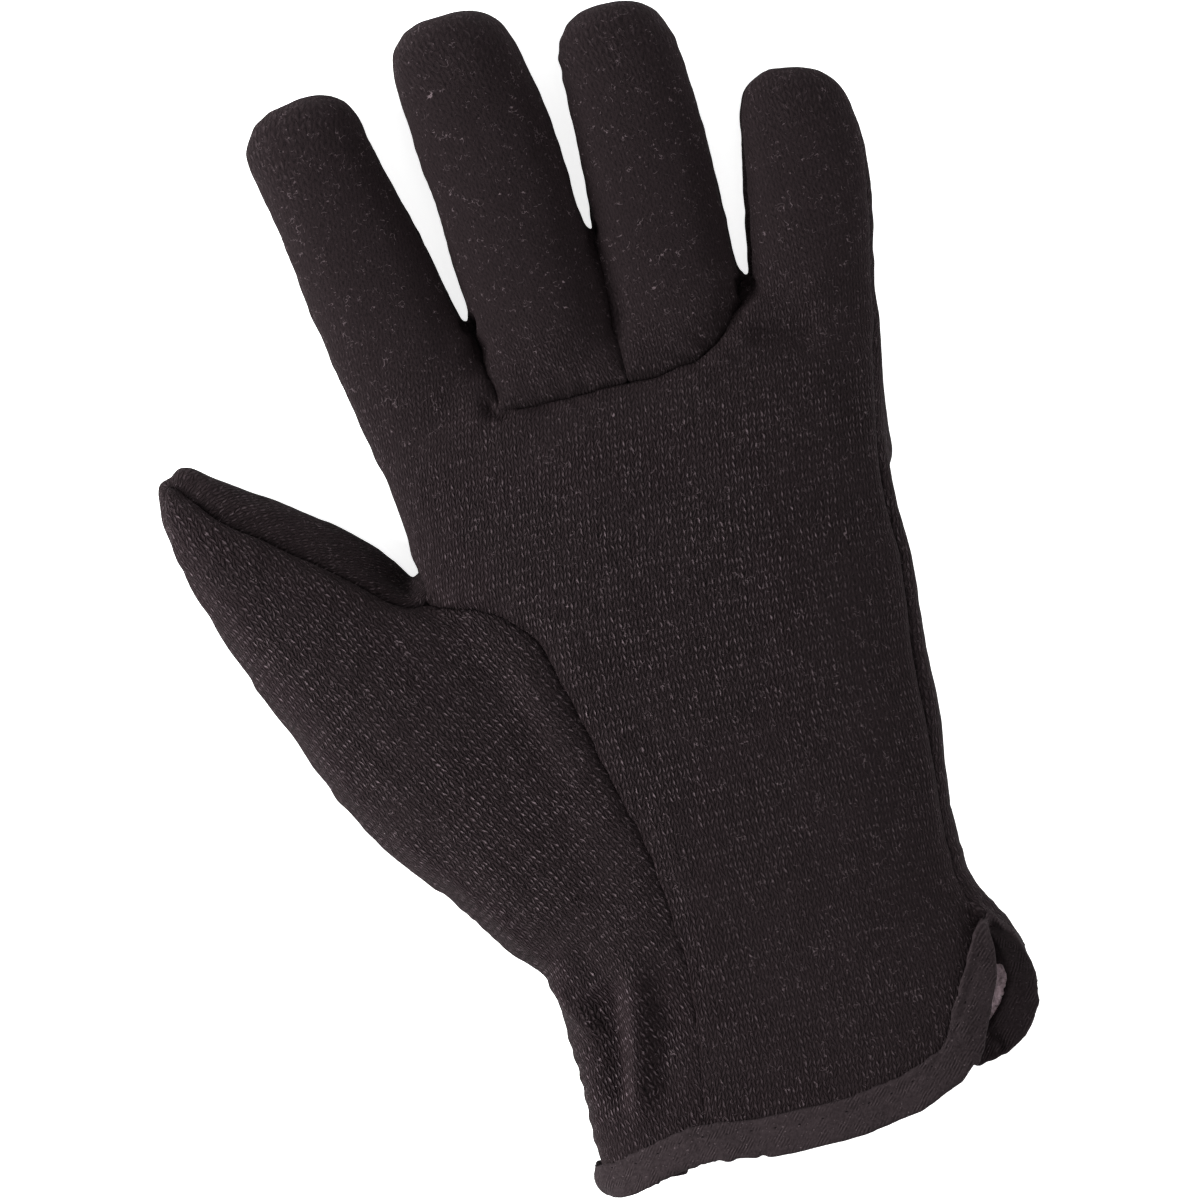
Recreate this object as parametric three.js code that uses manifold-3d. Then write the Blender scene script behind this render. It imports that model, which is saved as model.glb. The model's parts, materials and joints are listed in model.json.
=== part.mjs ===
// A left-hand cotton work glove, lying on its back with the palm up.
// Millimetres, +Z up. The hand points along +Y and the thumb along -X.
// The filled glove is one soft form made of lofts: a body from cuff to knuckles, four fingers and the
// two lobes of the thumb. Its cloth is that form less the same form made smaller by the cloth's
// thickness, and the sewn panels are cut out of the cloth along the seams.
import * as THREE from 'three';
import * as BufferGeometryUtils from 'three/addons/utils/BufferGeometryUtils.js';
import Module from 'manifold-3d';

const wasm = await Module();
wasm.setup();

// Driving sizes of the hand
const palmWidth = 110;
const palmLength = 171;
const palmDepth = 41;
const thumbLength = 150.5;
const thumbWidth = 44;
const thumbDepth = 37;
const thumbLean = 27.6;

// Height above the floor of the seams along the sides of the hand and fingers
const sideSeamHeight = 12.5;

// Cloth, fleece lining and bound edge
const clothThickness = 2.2;
const liningThickness = 1.0;
const liningLength = 62;
const tapeThickness = 1.1;
const bindingWidth = 9;
const ventLength = 38.3;

// Space left between two pieces that are sewn together
const seamGap = 0.3;

// Fineness of the facets, and the distance under which two corners are one
const bodySides = 30;
const fingerSides = 16;
const thumbSides = 18;
const weldDistance = 1e-4;

// Each finger: its root as shares of palmWidth and palmLength, its lean to the thumb side in degrees,
// its own length, width and depth, the tip's width as a share and the tip's lift as a share of depth
const fingers = {
  index: {
    xShare: -0.343, yShare: 0.994, lean: 11.4, length: 78.0, width: 31.0, depth: 26,
    tipShare: 0.86, liftShare: 0.1,
  },
  middle: {
    xShare: -0.078, yShare: 0.994, lean: 4.8, length: 88.0, width: 31.0, depth: 27,
    tipShare: 0.94, liftShare: 0.12,
  },
  ring: {
    xShare: 0.175, yShare: 1.006, lean: 0, length: 80.4, width: 31.2, depth: 26,
    tipShare: 0.85, liftShare: 0.12,
  },
  little: {
    xShare: 0.431, yShare: 0.965, lean: -7.5, length: 65.6, width: 29.4, depth: 24,
    tipShare: 0.88, liftShare: 0.1,
  },
};
const buriedShare = 0.36;
const fingerRows = [0, 0.25, 0.5, 0.72];
const tipRows = [0, 0.3, 0.55, 0.75, 0.89, 0.97];
const tipRoundness = 2.5;
const fingerRoundness = 2.15;
const fingerSink = 1.4;
// How far past the tips the lines between the fingers run, as a share of the fingers' length
const pastTips = 1.3;

// Sections of the body across the hand: y as a share of palmLength, the two sides as shares of palmWidth,
// how far the section sinks into the floor and its top as shares of palmDepth, and its share of cuffLift
const bodyRows = [
  { y: -0.094, left: -0.364, right: 0.555, sink: 0, top: 0.93, lift: 1 },
  { y: 0, left: -0.36, right: 0.56, sink: 0, top: 0.93, lift: 1 },
  { y: 0.129, left: -0.358, right: 0.575, sink: 0, top: 0.93, lift: 1 },
  { y: 0.199, left: -0.362, right: 0.553, sink: 0.01, top: 0.94, lift: 0.6 },
  { y: 0.263, left: -0.377, right: 0.507, sink: 0.03, top: 0.95, lift: 0 },
  { y: 0.351, left: -0.4, right: 0.482, sink: 0.06, top: 0.97, lift: 0 },
  { y: 0.503, left: -0.44, right: 0.504, sink: 0.08, top: 1, lift: 0 },
  { y: 0.637, left: -0.462, right: 0.511, sink: 0.08, top: 1, lift: 0 },
  { y: 0.766, left: -0.46, right: 0.514, sink: 0.08, top: 0.95, lift: 0 },
  { y: 0.877, left: -0.46, right: 0.535, sink: 0.07, top: 0.87, lift: 0 },
  { y: 0.953, left: -0.468, right: 0.549, sink: 0.06, top: 0.78, lift: 0 },
  { y: 1.006, left: -0.472, right: 0.553, sink: 0.05, top: 0.68, lift: 0 },
  { y: 1.047, left: -0.455, right: 0.53, sink: 0.03, top: 0.56, lift: 0 },
  { y: 1.076, left: -0.4, right: 0.47, sink: -0.03, top: 0.4, lift: 0 },
];
const bodyRoundness = 2.35;
// How many of the last sections draw back as well as in when a form is made smaller
const bodyClosingRows = 4;
const thumbClosingRows = 5;

// Root of the thumb's axis as shares of palmWidth and palmLength
const thumbRoot = { xShare: -0.2545, yShare: 0.234 };
// Sections of the thumb's two lobes: distance along the axis as a share of thumbLength, the two sides as
// shares of thumbWidth, and the underside and top as shares of thumbDepth
const thumbFrontRows = [
  { u: -0.06, left: -0.1, right: 0.6, bottom: -0.02, top: 0.8 },
  { u: 0.0, left: -0.16, right: 0.86, bottom: -0.04, top: 0.9 },
  { u: 0.085, left: -0.215, right: 1.02, bottom: -0.05, top: 0.95 },
  { u: 0.15, left: -0.28, right: 1.12, bottom: -0.06, top: 0.98 },
  { u: 0.257, left: -0.33, right: 1.18, bottom: -0.07, top: 1 },
  { u: 0.372, left: -0.4, right: 1.16, bottom: -0.07, top: 1 },
  { u: 0.471, left: -0.41, right: 1.0, bottom: -0.06, top: 0.97 },
  { u: 0.57, left: -0.39, right: 0.76, bottom: -0.05, top: 0.93 },
  { u: 0.654, left: -0.37, right: 0.5, bottom: -0.04, top: 0.87 },
  { u: 0.73, left: -0.34, right: 0.385, bottom: -0.03, top: 0.81 },
  { u: 0.804, left: -0.305, right: 0.27, bottom: -0.01, top: 0.74 },
  { u: 0.889, left: -0.25, right: 0.13, bottom: 0.02, top: 0.64 },
  { u: 0.943, left: -0.2, right: 0.05, bottom: 0.06, top: 0.54 },
  { u: 0.98, left: -0.125, right: 0.0, bottom: 0.12, top: 0.42 },
  { u: 0.996, left: -0.07, right: -0.03, bottom: 0.19, top: 0.32 },
];
const thumbBackRows = [
  { u: 0.3, left: 0.2, right: 0.9, bottom: -0.04, top: 0.5 },
  { u: 0.45, left: 0.0, right: 0.85, bottom: -0.05, top: 0.56 },
  { u: 0.6, left: -0.2, right: 0.66, bottom: -0.05, top: 0.58 },
  { u: 0.657, left: -0.28, right: 0.575, bottom: -0.05, top: 0.58 },
  { u: 0.716, left: -0.28, right: 0.536, bottom: -0.04, top: 0.57 },
  { u: 0.782, left: -0.25, right: 0.464, bottom: -0.03, top: 0.54 },
  { u: 0.863, left: -0.2, right: 0.33, bottom: 0, top: 0.49 },
  { u: 0.93, left: -0.15, right: 0.193, bottom: 0.04, top: 0.43 },
  { u: 0.975, left: -0.1, right: 0.1, bottom: 0.1, top: 0.37 },
  { u: 0.995, left: -0.06, right: 0.03, bottom: 0.17, top: 0.3 },
];
const thumbRoundness = 2.1;

// Seam between the thumb's lobes, as shares of thumbLength and thumbWidth along and across its axis.
// The first point is where it meets the seam of the palm.
const creaseRows = [
  { u: 0.607, v: 0.56 },
  { u: 0.657, v: 0.42 },
  { u: 0.73, v: 0.33 },
  { u: 0.805, v: 0.215 },
  { u: 0.889, v: 0.075 },
  { u: 0.986, v: -0.02 },
  { u: 1.1, v: -0.12 },
];
// Far side of the narrow strip beyond that seam, and the seam round the root of the thumb underneath
const stripRows = [
  { u: 1.1, v: 0.62 },
  { u: 0.66, v: 0.62 },
];
const thumbRootSeamRows = [
  { u: 0.558, v: 0.18 },
  { u: 0.36, v: -0.62 },
];

// Seam from the thumb's crotch down the palm, as shares of palmWidth and palmLength
const thumbSeamRows = [
  { x: -0.327, y: 0.746 },
  { x: -0.243, y: 0.696 },
  { x: -0.19, y: 0.556 },
  { x: -0.134, y: 0.429 },
  { x: -0.11, y: 0.333 },
  { x: -0.104, y: 0.227 },
  { x: -0.12, y: 0.123 },
  { x: -0.139, y: 0.058 },
  { x: -0.155, y: -0.2 },
];

// Seam across the roots of the middle and ring fingers: share of the way across, and share of palmLength.
// The two finger fronts meet at one of its points.
const baseSeamRows = [
  { across: 0, y: 1.004 },
  { across: 0.11, y: 0.993 },
  { across: 0.3, y: 0.995 },
  { across: 0.5, y: 0.999 },
  { across: 0.67, y: 0.999 },
  { across: 0.81, y: 1.012 },
  { across: 0.92, y: 1.038 },
  { across: 1, y: 1.068 },
];
const frontsMeet = 3;

// Seam down the little-finger side, where the back panel wraps over: x as a share of palmWidth, and y as a
// share of the way from the vent's apex to palmLength
const sideSeamRows = [
  { x: 0.491, along: 0 },
  { x: 0.472, along: 0.08 },
  { x: 0.465, along: 0.17 },
  { x: 0.472, along: 0.3 },
  { x: 0.489, along: 0.45 },
  { x: 0.505, along: 0.6 },
  { x: 0.522, along: 0.75 },
  { x: 0.541, along: 0.92 },
  { x: 0.6, along: 1.08 },
  { x: 0.8, along: 1.25 },
];

// Outer edge of the bound hem: x as a share of palmWidth, y as a share of ventLength.
// The front edge turns up into the vent. The back edge is rounded at its corner.
const frontHemRows = [
  { x: -0.6, y: -0.125 },
  { x: -0.328, y: -0.125 },
  { x: -0.253, y: -0.081 },
  { x: -0.156, y: -0.03 },
  { x: 0, y: -0.057 },
  { x: 0.16, y: -0.047 },
  { x: 0.288, y: 0.016 },
  { x: 0.38, y: 0.13 },
  { x: 0.428, y: 0.277 },
  { x: 0.468, y: 0.483 },
  { x: 0.495, y: 0.7 },
  { x: 0.499, y: 0.84 },
  { x: 0.492, y: 1 },
];
const backHemRows = [
  { x: -0.6, y: -0.125 },
  { x: -0.328, y: -0.125 },
  { x: -0.18, y: -0.04 },
  { x: 0, y: 0.03 },
  { x: 0.27, y: 0.1 },
  { x: 0.414, y: 0.165 },
  { x: 0.493, y: 0.205 },
  { x: 0.543, y: 0.32 },
  { x: 0.567, y: 0.45 },
  { x: 0.6, y: 0.66 },
  { x: 0.8, y: 0.9 },
];
// Rim of the back panel inside the vent, seen from the side: y as a share of ventLength, and height as a
// share of the way from sideSeamHeight to palmDepth
const ventRimRows = [
  { y: -1.5, rise: 0 },
  { y: 0.52, rise: 0 },
  { y: 0.7, rise: 0.16 },
  { y: 0.86, rise: 0.37 },
  { y: 0.965, rise: 0.62 },
  { y: 1, rise: 0.83 },
  { y: 1, rise: 1.7 },
];
const ventInnerShare = 0.4;

// Worked out from the sizes above
const edgeAllowance = tapeThickness + seamGap;
const cuffLift = tapeThickness + 2 * seamGap;
const liningOuter = clothThickness + seamGap;
const liningInner = liningOuter + liningThickness;
const leastHalf = clothThickness / 4;
const reach = 4 * palmLength;

const lerp = THREE.MathUtils.lerp;
const radians = THREE.MathUtils.degToRad;

function solidOf(geometry) {
  geometry.deleteAttribute('normal');
  geometry.deleteAttribute('uv');
  const merged = BufferGeometryUtils.mergeVertices(geometry, weldDistance);
  return new wasm.Manifold(new wasm.Mesh({
    numProp: 3,
    vertProperties: merged.attributes.position.array,
    triVerts: new Uint32Array(merged.index.array),
  }));
}

// A closed solid through rings of points, with a fan over the first ring and the last
function loft(rings) {
  const sides = rings[0].length;
  const points = rings.flat();
  const middleOf = (ring) => ring.reduce((sum, p) => sum.add(p), new THREE.Vector3()).divideScalar(sides);
  const first = points.push(middleOf(rings[0])) - 1;
  const last = points.push(middleOf(rings.at(-1))) - 1;
  const triangles = [];
  for (let i = 0; i < sides; i += 1) {
    const j = (i + 1) % sides;
    for (let k = 0; k < rings.length - 1; k += 1) {
      const [a, b, c, d] = [k * sides + i, k * sides + j, (k + 1) * sides + j, (k + 1) * sides + i];
      triangles.push(a, b, c, a, c, d);
    }
    const end = (rings.length - 1) * sides;
    triangles.push(first, j, i, last, end + i, end + j);
  }
  const geometry = new THREE.BufferGeometry().setFromPoints(points);
  geometry.setIndex(triangles);
  return solidOf(geometry);
}

// Points round an oval that is squarer the higher its roundness number. The oval runs so that a loft
// whose sections go from the cuff towards the fingertips has its faces pointing out.
function oval(sides, roundness, halfWidth, halfDepth, place) {
  return Array.from({ length: sides }, (_, i) => {
    const angle = (2 * Math.PI * (i + 0.5)) / sides;
    const [c, s] = [Math.cos(angle), Math.sin(angle)];
    const stretch = (Math.abs(c) ** roundness + Math.abs(s) ** roundness) ** (-1 / roundness);
    return place(-c * stretch * halfWidth, s * stretch * halfDepth);
  });
}

// A flat outline raised from one height to another
function prism(outline, low, high) {
  const shape = new THREE.Shape(outline);
  const geometry = new THREE.ExtrudeGeometry(shape, { depth: high - low, bevelEnabled: false });
  geometry.translate(0, 0, low);
  return solidOf(geometry);
}

// An outline in side view, y across and z up, carried along x
function sidePrism(outline, low, high) {
  const shape = new THREE.Shape(outline);
  const geometry = new THREE.ExtrudeGeometry(shape, { depth: high - low, bevelEnabled: false });
  const turn = new THREE.Matrix4().makeBasis(
    new THREE.Vector3(0, 1, 0),
    new THREE.Vector3(0, 0, 1),
    new THREE.Vector3(1, 0, 0),
  );
  geometry.applyMatrix4(turn);
  geometry.translate(low, 0, 0);
  return solidOf(geometry);
}

// A path moved sideways, to the left of its direction for a positive distance
function offsetPath(path, distance) {
  return path.map((point, i) => {
    const before = path[Math.max(i - 1, 0)];
    const after = path[Math.min(i + 1, path.length - 1)];
    const along = new THREE.Vector2().subVectors(after, before).normalize();
    return new THREE.Vector2(point.x - along.y * distance, point.y + along.x * distance);
  });
}

// A thin upright cut of seamGap's width along a path, which runs on a little past both of its ends
function knife(path, low = -reach, high = reach) {
  const past = (end, inner) => new THREE.Vector2().subVectors(end, inner).setLength(seamGap).add(end);
  const longer = [past(path[0], path[1]), ...path.slice(1, -1), past(path.at(-1), path.at(-2))];
  const near = offsetPath(longer, seamGap / 2);
  const far = offsetPath(longer, -seamGap / 2).reverse();
  return prism([...near, ...far], low, high);
}

function union(solids) {
  return solids.reduce((whole, solid) => whole.add(solid));
}

function cutAway(solid, tools) {
  return tools.reduce((rest, tool) => rest.subtract(tool), solid);
}

const planPoint = (row) => new THREE.Vector2(row.x * palmWidth, row.y * palmLength);
const hemPoint = (row) => new THREE.Vector2(row.x * palmWidth, row.y * ventLength);

// The body of the hand, its cloth surface moved in by inset. The smaller forms reach further past the
// hem, so that the cuff stays open.
function bodyForm(inset) {
  const mouth = 2 * Math.max(inset, 0);
  const lastRow = bodyRows.length - 1;
  return loft(bodyRows.map((row, k) => {
    const closing = THREE.MathUtils.smoothstep(k, lastRow - bodyClosingRows, lastRow);
    const endShift = k === 0 ? mouth : inset * closing;
    const left = row.left * palmWidth + inset;
    const right = row.right * palmWidth - inset;
    const bottom = row.lift * cuffLift - row.sink * palmDepth + inset;
    const top = row.top * palmDepth - inset;
    const y = row.y * palmLength - endShift;
    return oval(bodySides, bodyRoundness, (right - left) / 2, (top - bottom) / 2, (x, z) =>
      new THREE.Vector3((left + right) / 2 + x, y, (top + bottom) / 2 + z));
  }));
}

// A point in plan at a distance along a finger's axis and across it
function fingerPoint(finger, along, across) {
  const lean = radians(finger.lean);
  const x = finger.xShare * palmWidth - Math.sin(lean) * along + Math.cos(lean) * across;
  const y = finger.yShare * palmLength + Math.cos(lean) * along + Math.sin(lean) * across;
  return new THREE.Vector2(x, y);
}

// A finger with a blunt rounded tip, whose root is buried in the body
function fingerForm(finger, inset) {
  const tipRadius = (finger.width * finger.tipShare) / 2;
  const straight = finger.length - tipRadius;
  const ring = (along, shrink) => {
    const share = along / finger.length;
    const narrowing = lerp(1, finger.tipShare, Math.max(share, 0));
    const halfWidth = ((finger.width * narrowing) / 2 - inset) * shrink;
    const halfDepth = ((finger.depth * narrowing) / 2 - inset) * shrink;
    const rise = finger.depth * finger.liftShare * Math.max(share, 0) ** 2;
    const height = finger.depth / 2 - fingerSink + rise;
    return oval(fingerSides, fingerRoundness, halfWidth, halfDepth, (across, z) => {
      const place = fingerPoint(finger, along, across);
      return new THREE.Vector3(place.x, place.y, height + z);
    });
  };
  const shaft = fingerRows.map((share) => ring(share * straight, 1));
  const cap = tipRows.map((share) =>
    ring(straight + (tipRadius - inset) * share, (1 - share ** tipRoundness) ** (1 / tipRoundness)));
  return loft([ring(-buriedShare * finger.length, 1), ...shaft, ...cap]);
}

// A point in plan at shares of the thumb's length and width along and across its axis
function thumbPoint(u, v) {
  const lean = radians(thumbLean);
  const [along, across] = [u * thumbLength, v * thumbWidth];
  const x = thumbRoot.xShare * palmWidth - Math.sin(lean) * along + Math.cos(lean) * across;
  const y = thumbRoot.yShare * palmLength + Math.cos(lean) * along + Math.sin(lean) * across;
  return new THREE.Vector2(x, y);
}

// One lobe of the thumb. Near the tip the inset also draws the sections back along the axis.
function thumbForm(rows, inset) {
  const lastRow = rows.length - 1;
  return loft(rows.map((row, k) => {
    const closing = THREE.MathUtils.smoothstep(k, lastRow - thumbClosingRows, lastRow);
    const drawn = (inset * closing) / thumbLength;
    const halfWidth = Math.max(((row.right - row.left) * thumbWidth) / 2 - inset, leastHalf);
    const halfDepth = Math.max(((row.top - row.bottom) * thumbDepth) / 2 - inset, leastHalf);
    const middle = ((row.left + row.right) * thumbWidth) / 2;
    const height = ((row.top + row.bottom) * thumbDepth) / 2;
    return oval(thumbSides, thumbRoundness, halfWidth, halfDepth, (across, z) => {
      const place = thumbPoint(row.u - drawn, (middle + across) / thumbWidth);
      return new THREE.Vector3(place.x, place.y, height + z);
    });
  }));
}

// Everything lower than a height, which flattens the glove where it rests
function under(height) {
  const corners = [[-reach, -reach], [reach, -reach], [reach, reach], [-reach, reach]];
  return prism(corners.map(([x, y]) => new THREE.Vector2(x, y)), height - reach, height);
}

function cuffForm(inset) {
  return bodyForm(inset).subtract(under(inset));
}

function handForm(inset) {
  const parts = [
    bodyForm(inset),
    ...Object.values(fingers).map((finger) => fingerForm(finger, inset)),
    thumbForm(thumbFrontRows, inset),
    thumbForm(thumbBackRows, inset),
  ];
  return union(parts).subtract(under(inset));
}

// Seam paths in plan
const junction = thumbPoint(creaseRows[0].u, creaseRows[0].v);
const crease = creaseRows.map((row) => thumbPoint(row.u, row.v));
const stripSide = [...stripRows.map((row) => thumbPoint(row.u, row.v)), junction];
const thumbRootSeam = [junction, ...thumbRootSeamRows.map((row) => thumbPoint(row.u, row.v))];
const thumbSeam = [junction, ...thumbSeamRows.map(planPoint)];
const sideSeam = sideSeamRows.map((row) =>
  new THREE.Vector2(row.x * palmWidth, lerp(ventLength, palmLength, row.along)));

// Line between two neighbouring fingers: from their roots to past their tips
function betweenFingers(left, right) {
  const middleAt = (share) => {
    const a = fingerPoint(left, share * left.length, (left.width * lerp(1, left.tipShare, share)) / 2);
    const b = fingerPoint(right, share * right.length, (-right.width * lerp(1, right.tipShare, share)) / 2);
    return new THREE.Vector2().addVectors(a, b).divideScalar(2);
  };
  return [middleAt(0), middleAt(0.5), middleAt(pastTips)];
}

const indexMiddle = betweenFingers(fingers.index, fingers.middle);
const middleRing = betweenFingers(fingers.middle, fingers.ring);
const ringLittle = betweenFingers(fingers.ring, fingers.little);
const baseSeam = baseSeamRows.map((row) =>
  new THREE.Vector2(lerp(indexMiddle[0].x, ringLittle[0].x, row.across), row.y * palmLength));
indexMiddle[0] = baseSeam[0];
middleRing[0] = baseSeam[frontsMeet];
ringLittle[0] = baseSeam.at(-1);

// Zone of the palm side: above the side seams and on the thumb's side of the little-finger seam
function palmSide(shift) {
  const border = sideSeam.map((p) => new THREE.Vector2(p.x - shift, p.y));
  const outline = [
    new THREE.Vector2(-reach, -reach),
    new THREE.Vector2(border[0].x, -reach),
    ...border,
    new THREE.Vector2(reach, border.at(-1).y),
    new THREE.Vector2(reach, reach),
    new THREE.Vector2(-reach, reach),
  ];
  return prism(outline, sideSeamHeight + shift, reach);
}

// What lies outside the hem, with the hem's edge moved in by a distance
const frontHem = frontHemRows.map(hemPoint);
const backHem = backHemRows.map(hemPoint);
const ventRim = ventRimRows.map((row) =>
  new THREE.Vector2(row.y * ventLength, lerp(sideSeamHeight, palmDepth, row.rise)));

function beyondFrontHem(distance) {
  const edge = offsetPath(frontHem, distance);
  const apex = Math.min(edge.at(-1).y, ventLength);
  edge.at(-1).y = apex;
  const outline = [
    ...edge,
    new THREE.Vector2(reach, apex),
    new THREE.Vector2(reach, -reach),
    new THREE.Vector2(-reach, -reach),
    new THREE.Vector2(-reach, edge[0].y),
  ];
  return prism(outline, -reach, reach);
}

function beyondBackHem(distance) {
  const edge = offsetPath(backHem, distance);
  const plan = [
    ...edge,
    new THREE.Vector2(reach, edge.at(-1).y),
    new THREE.Vector2(reach, -reach),
    new THREE.Vector2(-reach, -reach),
    new THREE.Vector2(-reach, edge[0].y),
  ];
  const rim = offsetPath(ventRim, -distance);
  const side = [...rim, new THREE.Vector2(rim[0].x, rim.at(-1).y)];
  return prism(plan, -reach, reach).add(sidePrism(side, ventInnerShare * palmWidth, reach));
}

// Zones of the palm side's panels
const farLeft = new THREE.Vector2(-reach, crease.at(-1).y);
const thumbFrontZone = prism(
  [...crease.slice(1).reverse(), ...thumbSeam, new THREE.Vector2(-reach, thumbSeam.at(-1).y), farLeft],
  sideSeamHeight + seamGap / 2,
  reach,
);
const stripZone = prism([...crease, ...stripSide.slice(0, -1)], -reach, reach);
const thumbUnderside = [
  ...thumbRootSeam,
  new THREE.Vector2(-reach, thumbRootSeam.at(-1).y),
  farLeft,
  ...crease.slice(1).reverse(),
];

function fingerFrontZone(leftLine, rightLine, seam) {
  return prism([...seam, ...rightLine.slice(1), ...leftLine.slice(1).reverse()], sideSeamHeight, reach);
}

const middleZone = fingerFrontZone(indexMiddle, middleRing, baseSeam.slice(0, frontsMeet + 1));
const ringZone = fingerFrontZone(middleRing, ringLittle, baseSeam.slice(frontsMeet));

// The cloth, cut along every seam
const cloth = handForm(0).subtract(handForm(clothThickness));
const seamLow = sideSeamHeight - seamGap / 2;
const palmCloth = cutAway(cloth.intersect(palmSide(seamGap / 2)), [
  knife(thumbSeam),
  knife(crease),
  knife(stripSide),
  knife(baseSeam),
  knife(indexMiddle),
  knife(middleRing),
  knife(ringLittle),
  beyondFrontHem(edgeAllowance),
]);
const thumbFront = palmCloth.intersect(thumbFrontZone);
const middleFront = palmCloth.intersect(middleZone);
const ringFront = palmCloth.intersect(ringZone);
const palmPanel = cutAway(palmCloth, [thumbFrontZone, stripZone, middleZone, ringZone]);

const thumbBack = cutAway(cloth, [
  knife(thumbRootSeam),
  knife(stripSide),
  knife(crease, seamLow, reach),
]).intersect(prism(thumbUnderside, -reach, seamLow).add(stripZone));

const backPanel = cutAway(cloth, [
  palmSide(-seamGap / 2),
  knife(thumbRootSeam),
  knife(stripSide),
  prism(thumbUnderside, -reach, reach),
  stripZone,
  beyondBackHem(edgeAllowance),
]);

// Everything further up the hand than a distance from the cuff
function furtherIn(distance) {
  const corners = [[-reach, distance], [reach, distance], [reach, reach], [-reach, reach]];
  return prism(corners.map(([x, y]) => new THREE.Vector2(x, y)), -reach, reach);
}

// Solid cut by the front hem on the palm side and by the back hem elsewhere
function hemmed(solid, distance) {
  const front = solid.intersect(palmSide(0)).subtract(beyondFrontHem(distance));
  const back = solid.subtract(palmSide(0)).subtract(beyondBackHem(distance));
  return front.add(back);
}

// Fleece sleeve inside the cuff, as far up as it shows through the vent and the mouth
function lining() {
  const sleeve = cuffForm(liningOuter).subtract(cuffForm(liningInner));
  return hemmed(sleeve, edgeAllowance).subtract(furtherIn(liningLength));
}

// Tape folded round the hem and up both sides of the vent
function binding() {
  const folded = cuffForm(-edgeAllowance).subtract(cuffForm(liningInner + edgeAllowance));
  const slot = cuffForm(-seamGap).subtract(cuffForm(liningInner + seamGap));
  const frontBand = beyondFrontHem(bindingWidth).subtract(beyondFrontHem(0)).intersect(palmSide(0));
  const backBand = beyondBackHem(bindingWidth).subtract(beyondBackHem(0)).subtract(palmSide(0));
  const band = folded.intersect(frontBand.add(backBand));
  return band.subtract(furtherIn(ventLength)).subtract(hemmed(slot, tapeThickness));
}

const jersey = { color: 0x292224, roughness: 1, metalness: 0 };
const fleece = { color: 0x7a6c70, roughness: 1, metalness: 0 };
const tape = { color: 0x3c3335, roughness: 0.95, metalness: 0 };

const pieces = [
  ['palm_panel', palmPanel, jersey],
  ['middle_finger_front', middleFront, jersey],
  ['ring_finger_front', ringFront, jersey],
  ['back_panel', backPanel, jersey],
  ['thumb_front', thumbFront, jersey],
  ['thumb_back', thumbBack, jersey],
  ['cuff_lining', lining(), fleece],
  ['cuff_binding', binding(), tape],
];

const glove = new THREE.Group();
for (const [name, solid, look] of pieces) {
  const { vertProperties, triVerts } = solid.getMesh();
  const geometry = new THREE.BufferGeometry();
  geometry.setAttribute('position', new THREE.BufferAttribute(vertProperties, 3));
  geometry.setIndex(new THREE.BufferAttribute(triVerts, 1));
  geometry.computeVertexNormals();
  const mesh = new THREE.Mesh(geometry, new THREE.MeshStandardMaterial(look));
  mesh.name = name;
  glove.add(mesh);
}

// The origin is under the middle of the whole glove, on the floor
const box = new THREE.Box3().setFromObject(glove);
glove.position.set(-(box.min.x + box.max.x) / 2, -(box.min.y + box.max.y) / 2, -box.min.z);

export default glove;
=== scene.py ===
import json
import math

import bmesh
import bpy
import numpy as np
from mathutils import Matrix, Vector, noise
from mathutils.bvhtree import BVHTree
from mathutils.kdtree import KDTree

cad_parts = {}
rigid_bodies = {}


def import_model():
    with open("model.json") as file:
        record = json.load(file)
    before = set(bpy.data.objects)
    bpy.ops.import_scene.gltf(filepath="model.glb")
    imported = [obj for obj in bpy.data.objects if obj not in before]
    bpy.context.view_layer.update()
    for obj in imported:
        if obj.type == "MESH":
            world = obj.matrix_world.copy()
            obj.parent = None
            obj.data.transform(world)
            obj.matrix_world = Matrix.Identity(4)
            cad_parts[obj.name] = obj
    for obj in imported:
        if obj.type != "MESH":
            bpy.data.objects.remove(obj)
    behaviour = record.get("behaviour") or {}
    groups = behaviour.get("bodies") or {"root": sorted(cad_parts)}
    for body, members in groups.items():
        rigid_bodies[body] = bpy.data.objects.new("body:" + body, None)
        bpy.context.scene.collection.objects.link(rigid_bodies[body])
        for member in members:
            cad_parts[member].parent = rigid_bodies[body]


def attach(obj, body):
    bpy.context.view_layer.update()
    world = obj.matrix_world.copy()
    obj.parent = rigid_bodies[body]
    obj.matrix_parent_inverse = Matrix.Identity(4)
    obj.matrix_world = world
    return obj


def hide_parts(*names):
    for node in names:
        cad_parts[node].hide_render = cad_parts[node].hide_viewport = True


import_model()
bpy.ops.object.select_all(action="DESELECT")
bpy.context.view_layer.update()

MM = 0.001
# The nodes of jersey, and their numbers in the same order
JERSEY = [
    "palm_panel", "middle_finger_front", "ring_finger_front",
    "back_panel", "thumb_front", "thumb_back",
]
PALM, MIDDLE, RING, BACK, THUMB, STRIP = range(len(JERSEY))
# The hand's own origin, from which seams and folds are given, as it lies in the frame (mm)
HAND = (17.04, -126.43)
SIDE_SEAM_HEIGHT = 12.5
# The jersey's thickness, and the share of it that is left at the free edges, inside the tape
CLOTH_THICKNESS = 2.0 * MM
EDGE_SHARE = 0.35
# Voxels of the filled form, the lining and the tape
COARSE = 1.75 * MM
LINING_VOXEL = 0.8 * MM
TAPE_VOXEL = 0.62 * MM
# The open cuff is plugged up to this place along Y
PLUG_END = -85 * MM
# Free edges lie below this height up the hand (mm), and the vent's back side under this height over the floor
VENT_TOP = 41
VENT_SPLIT = 24 * MM
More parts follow.
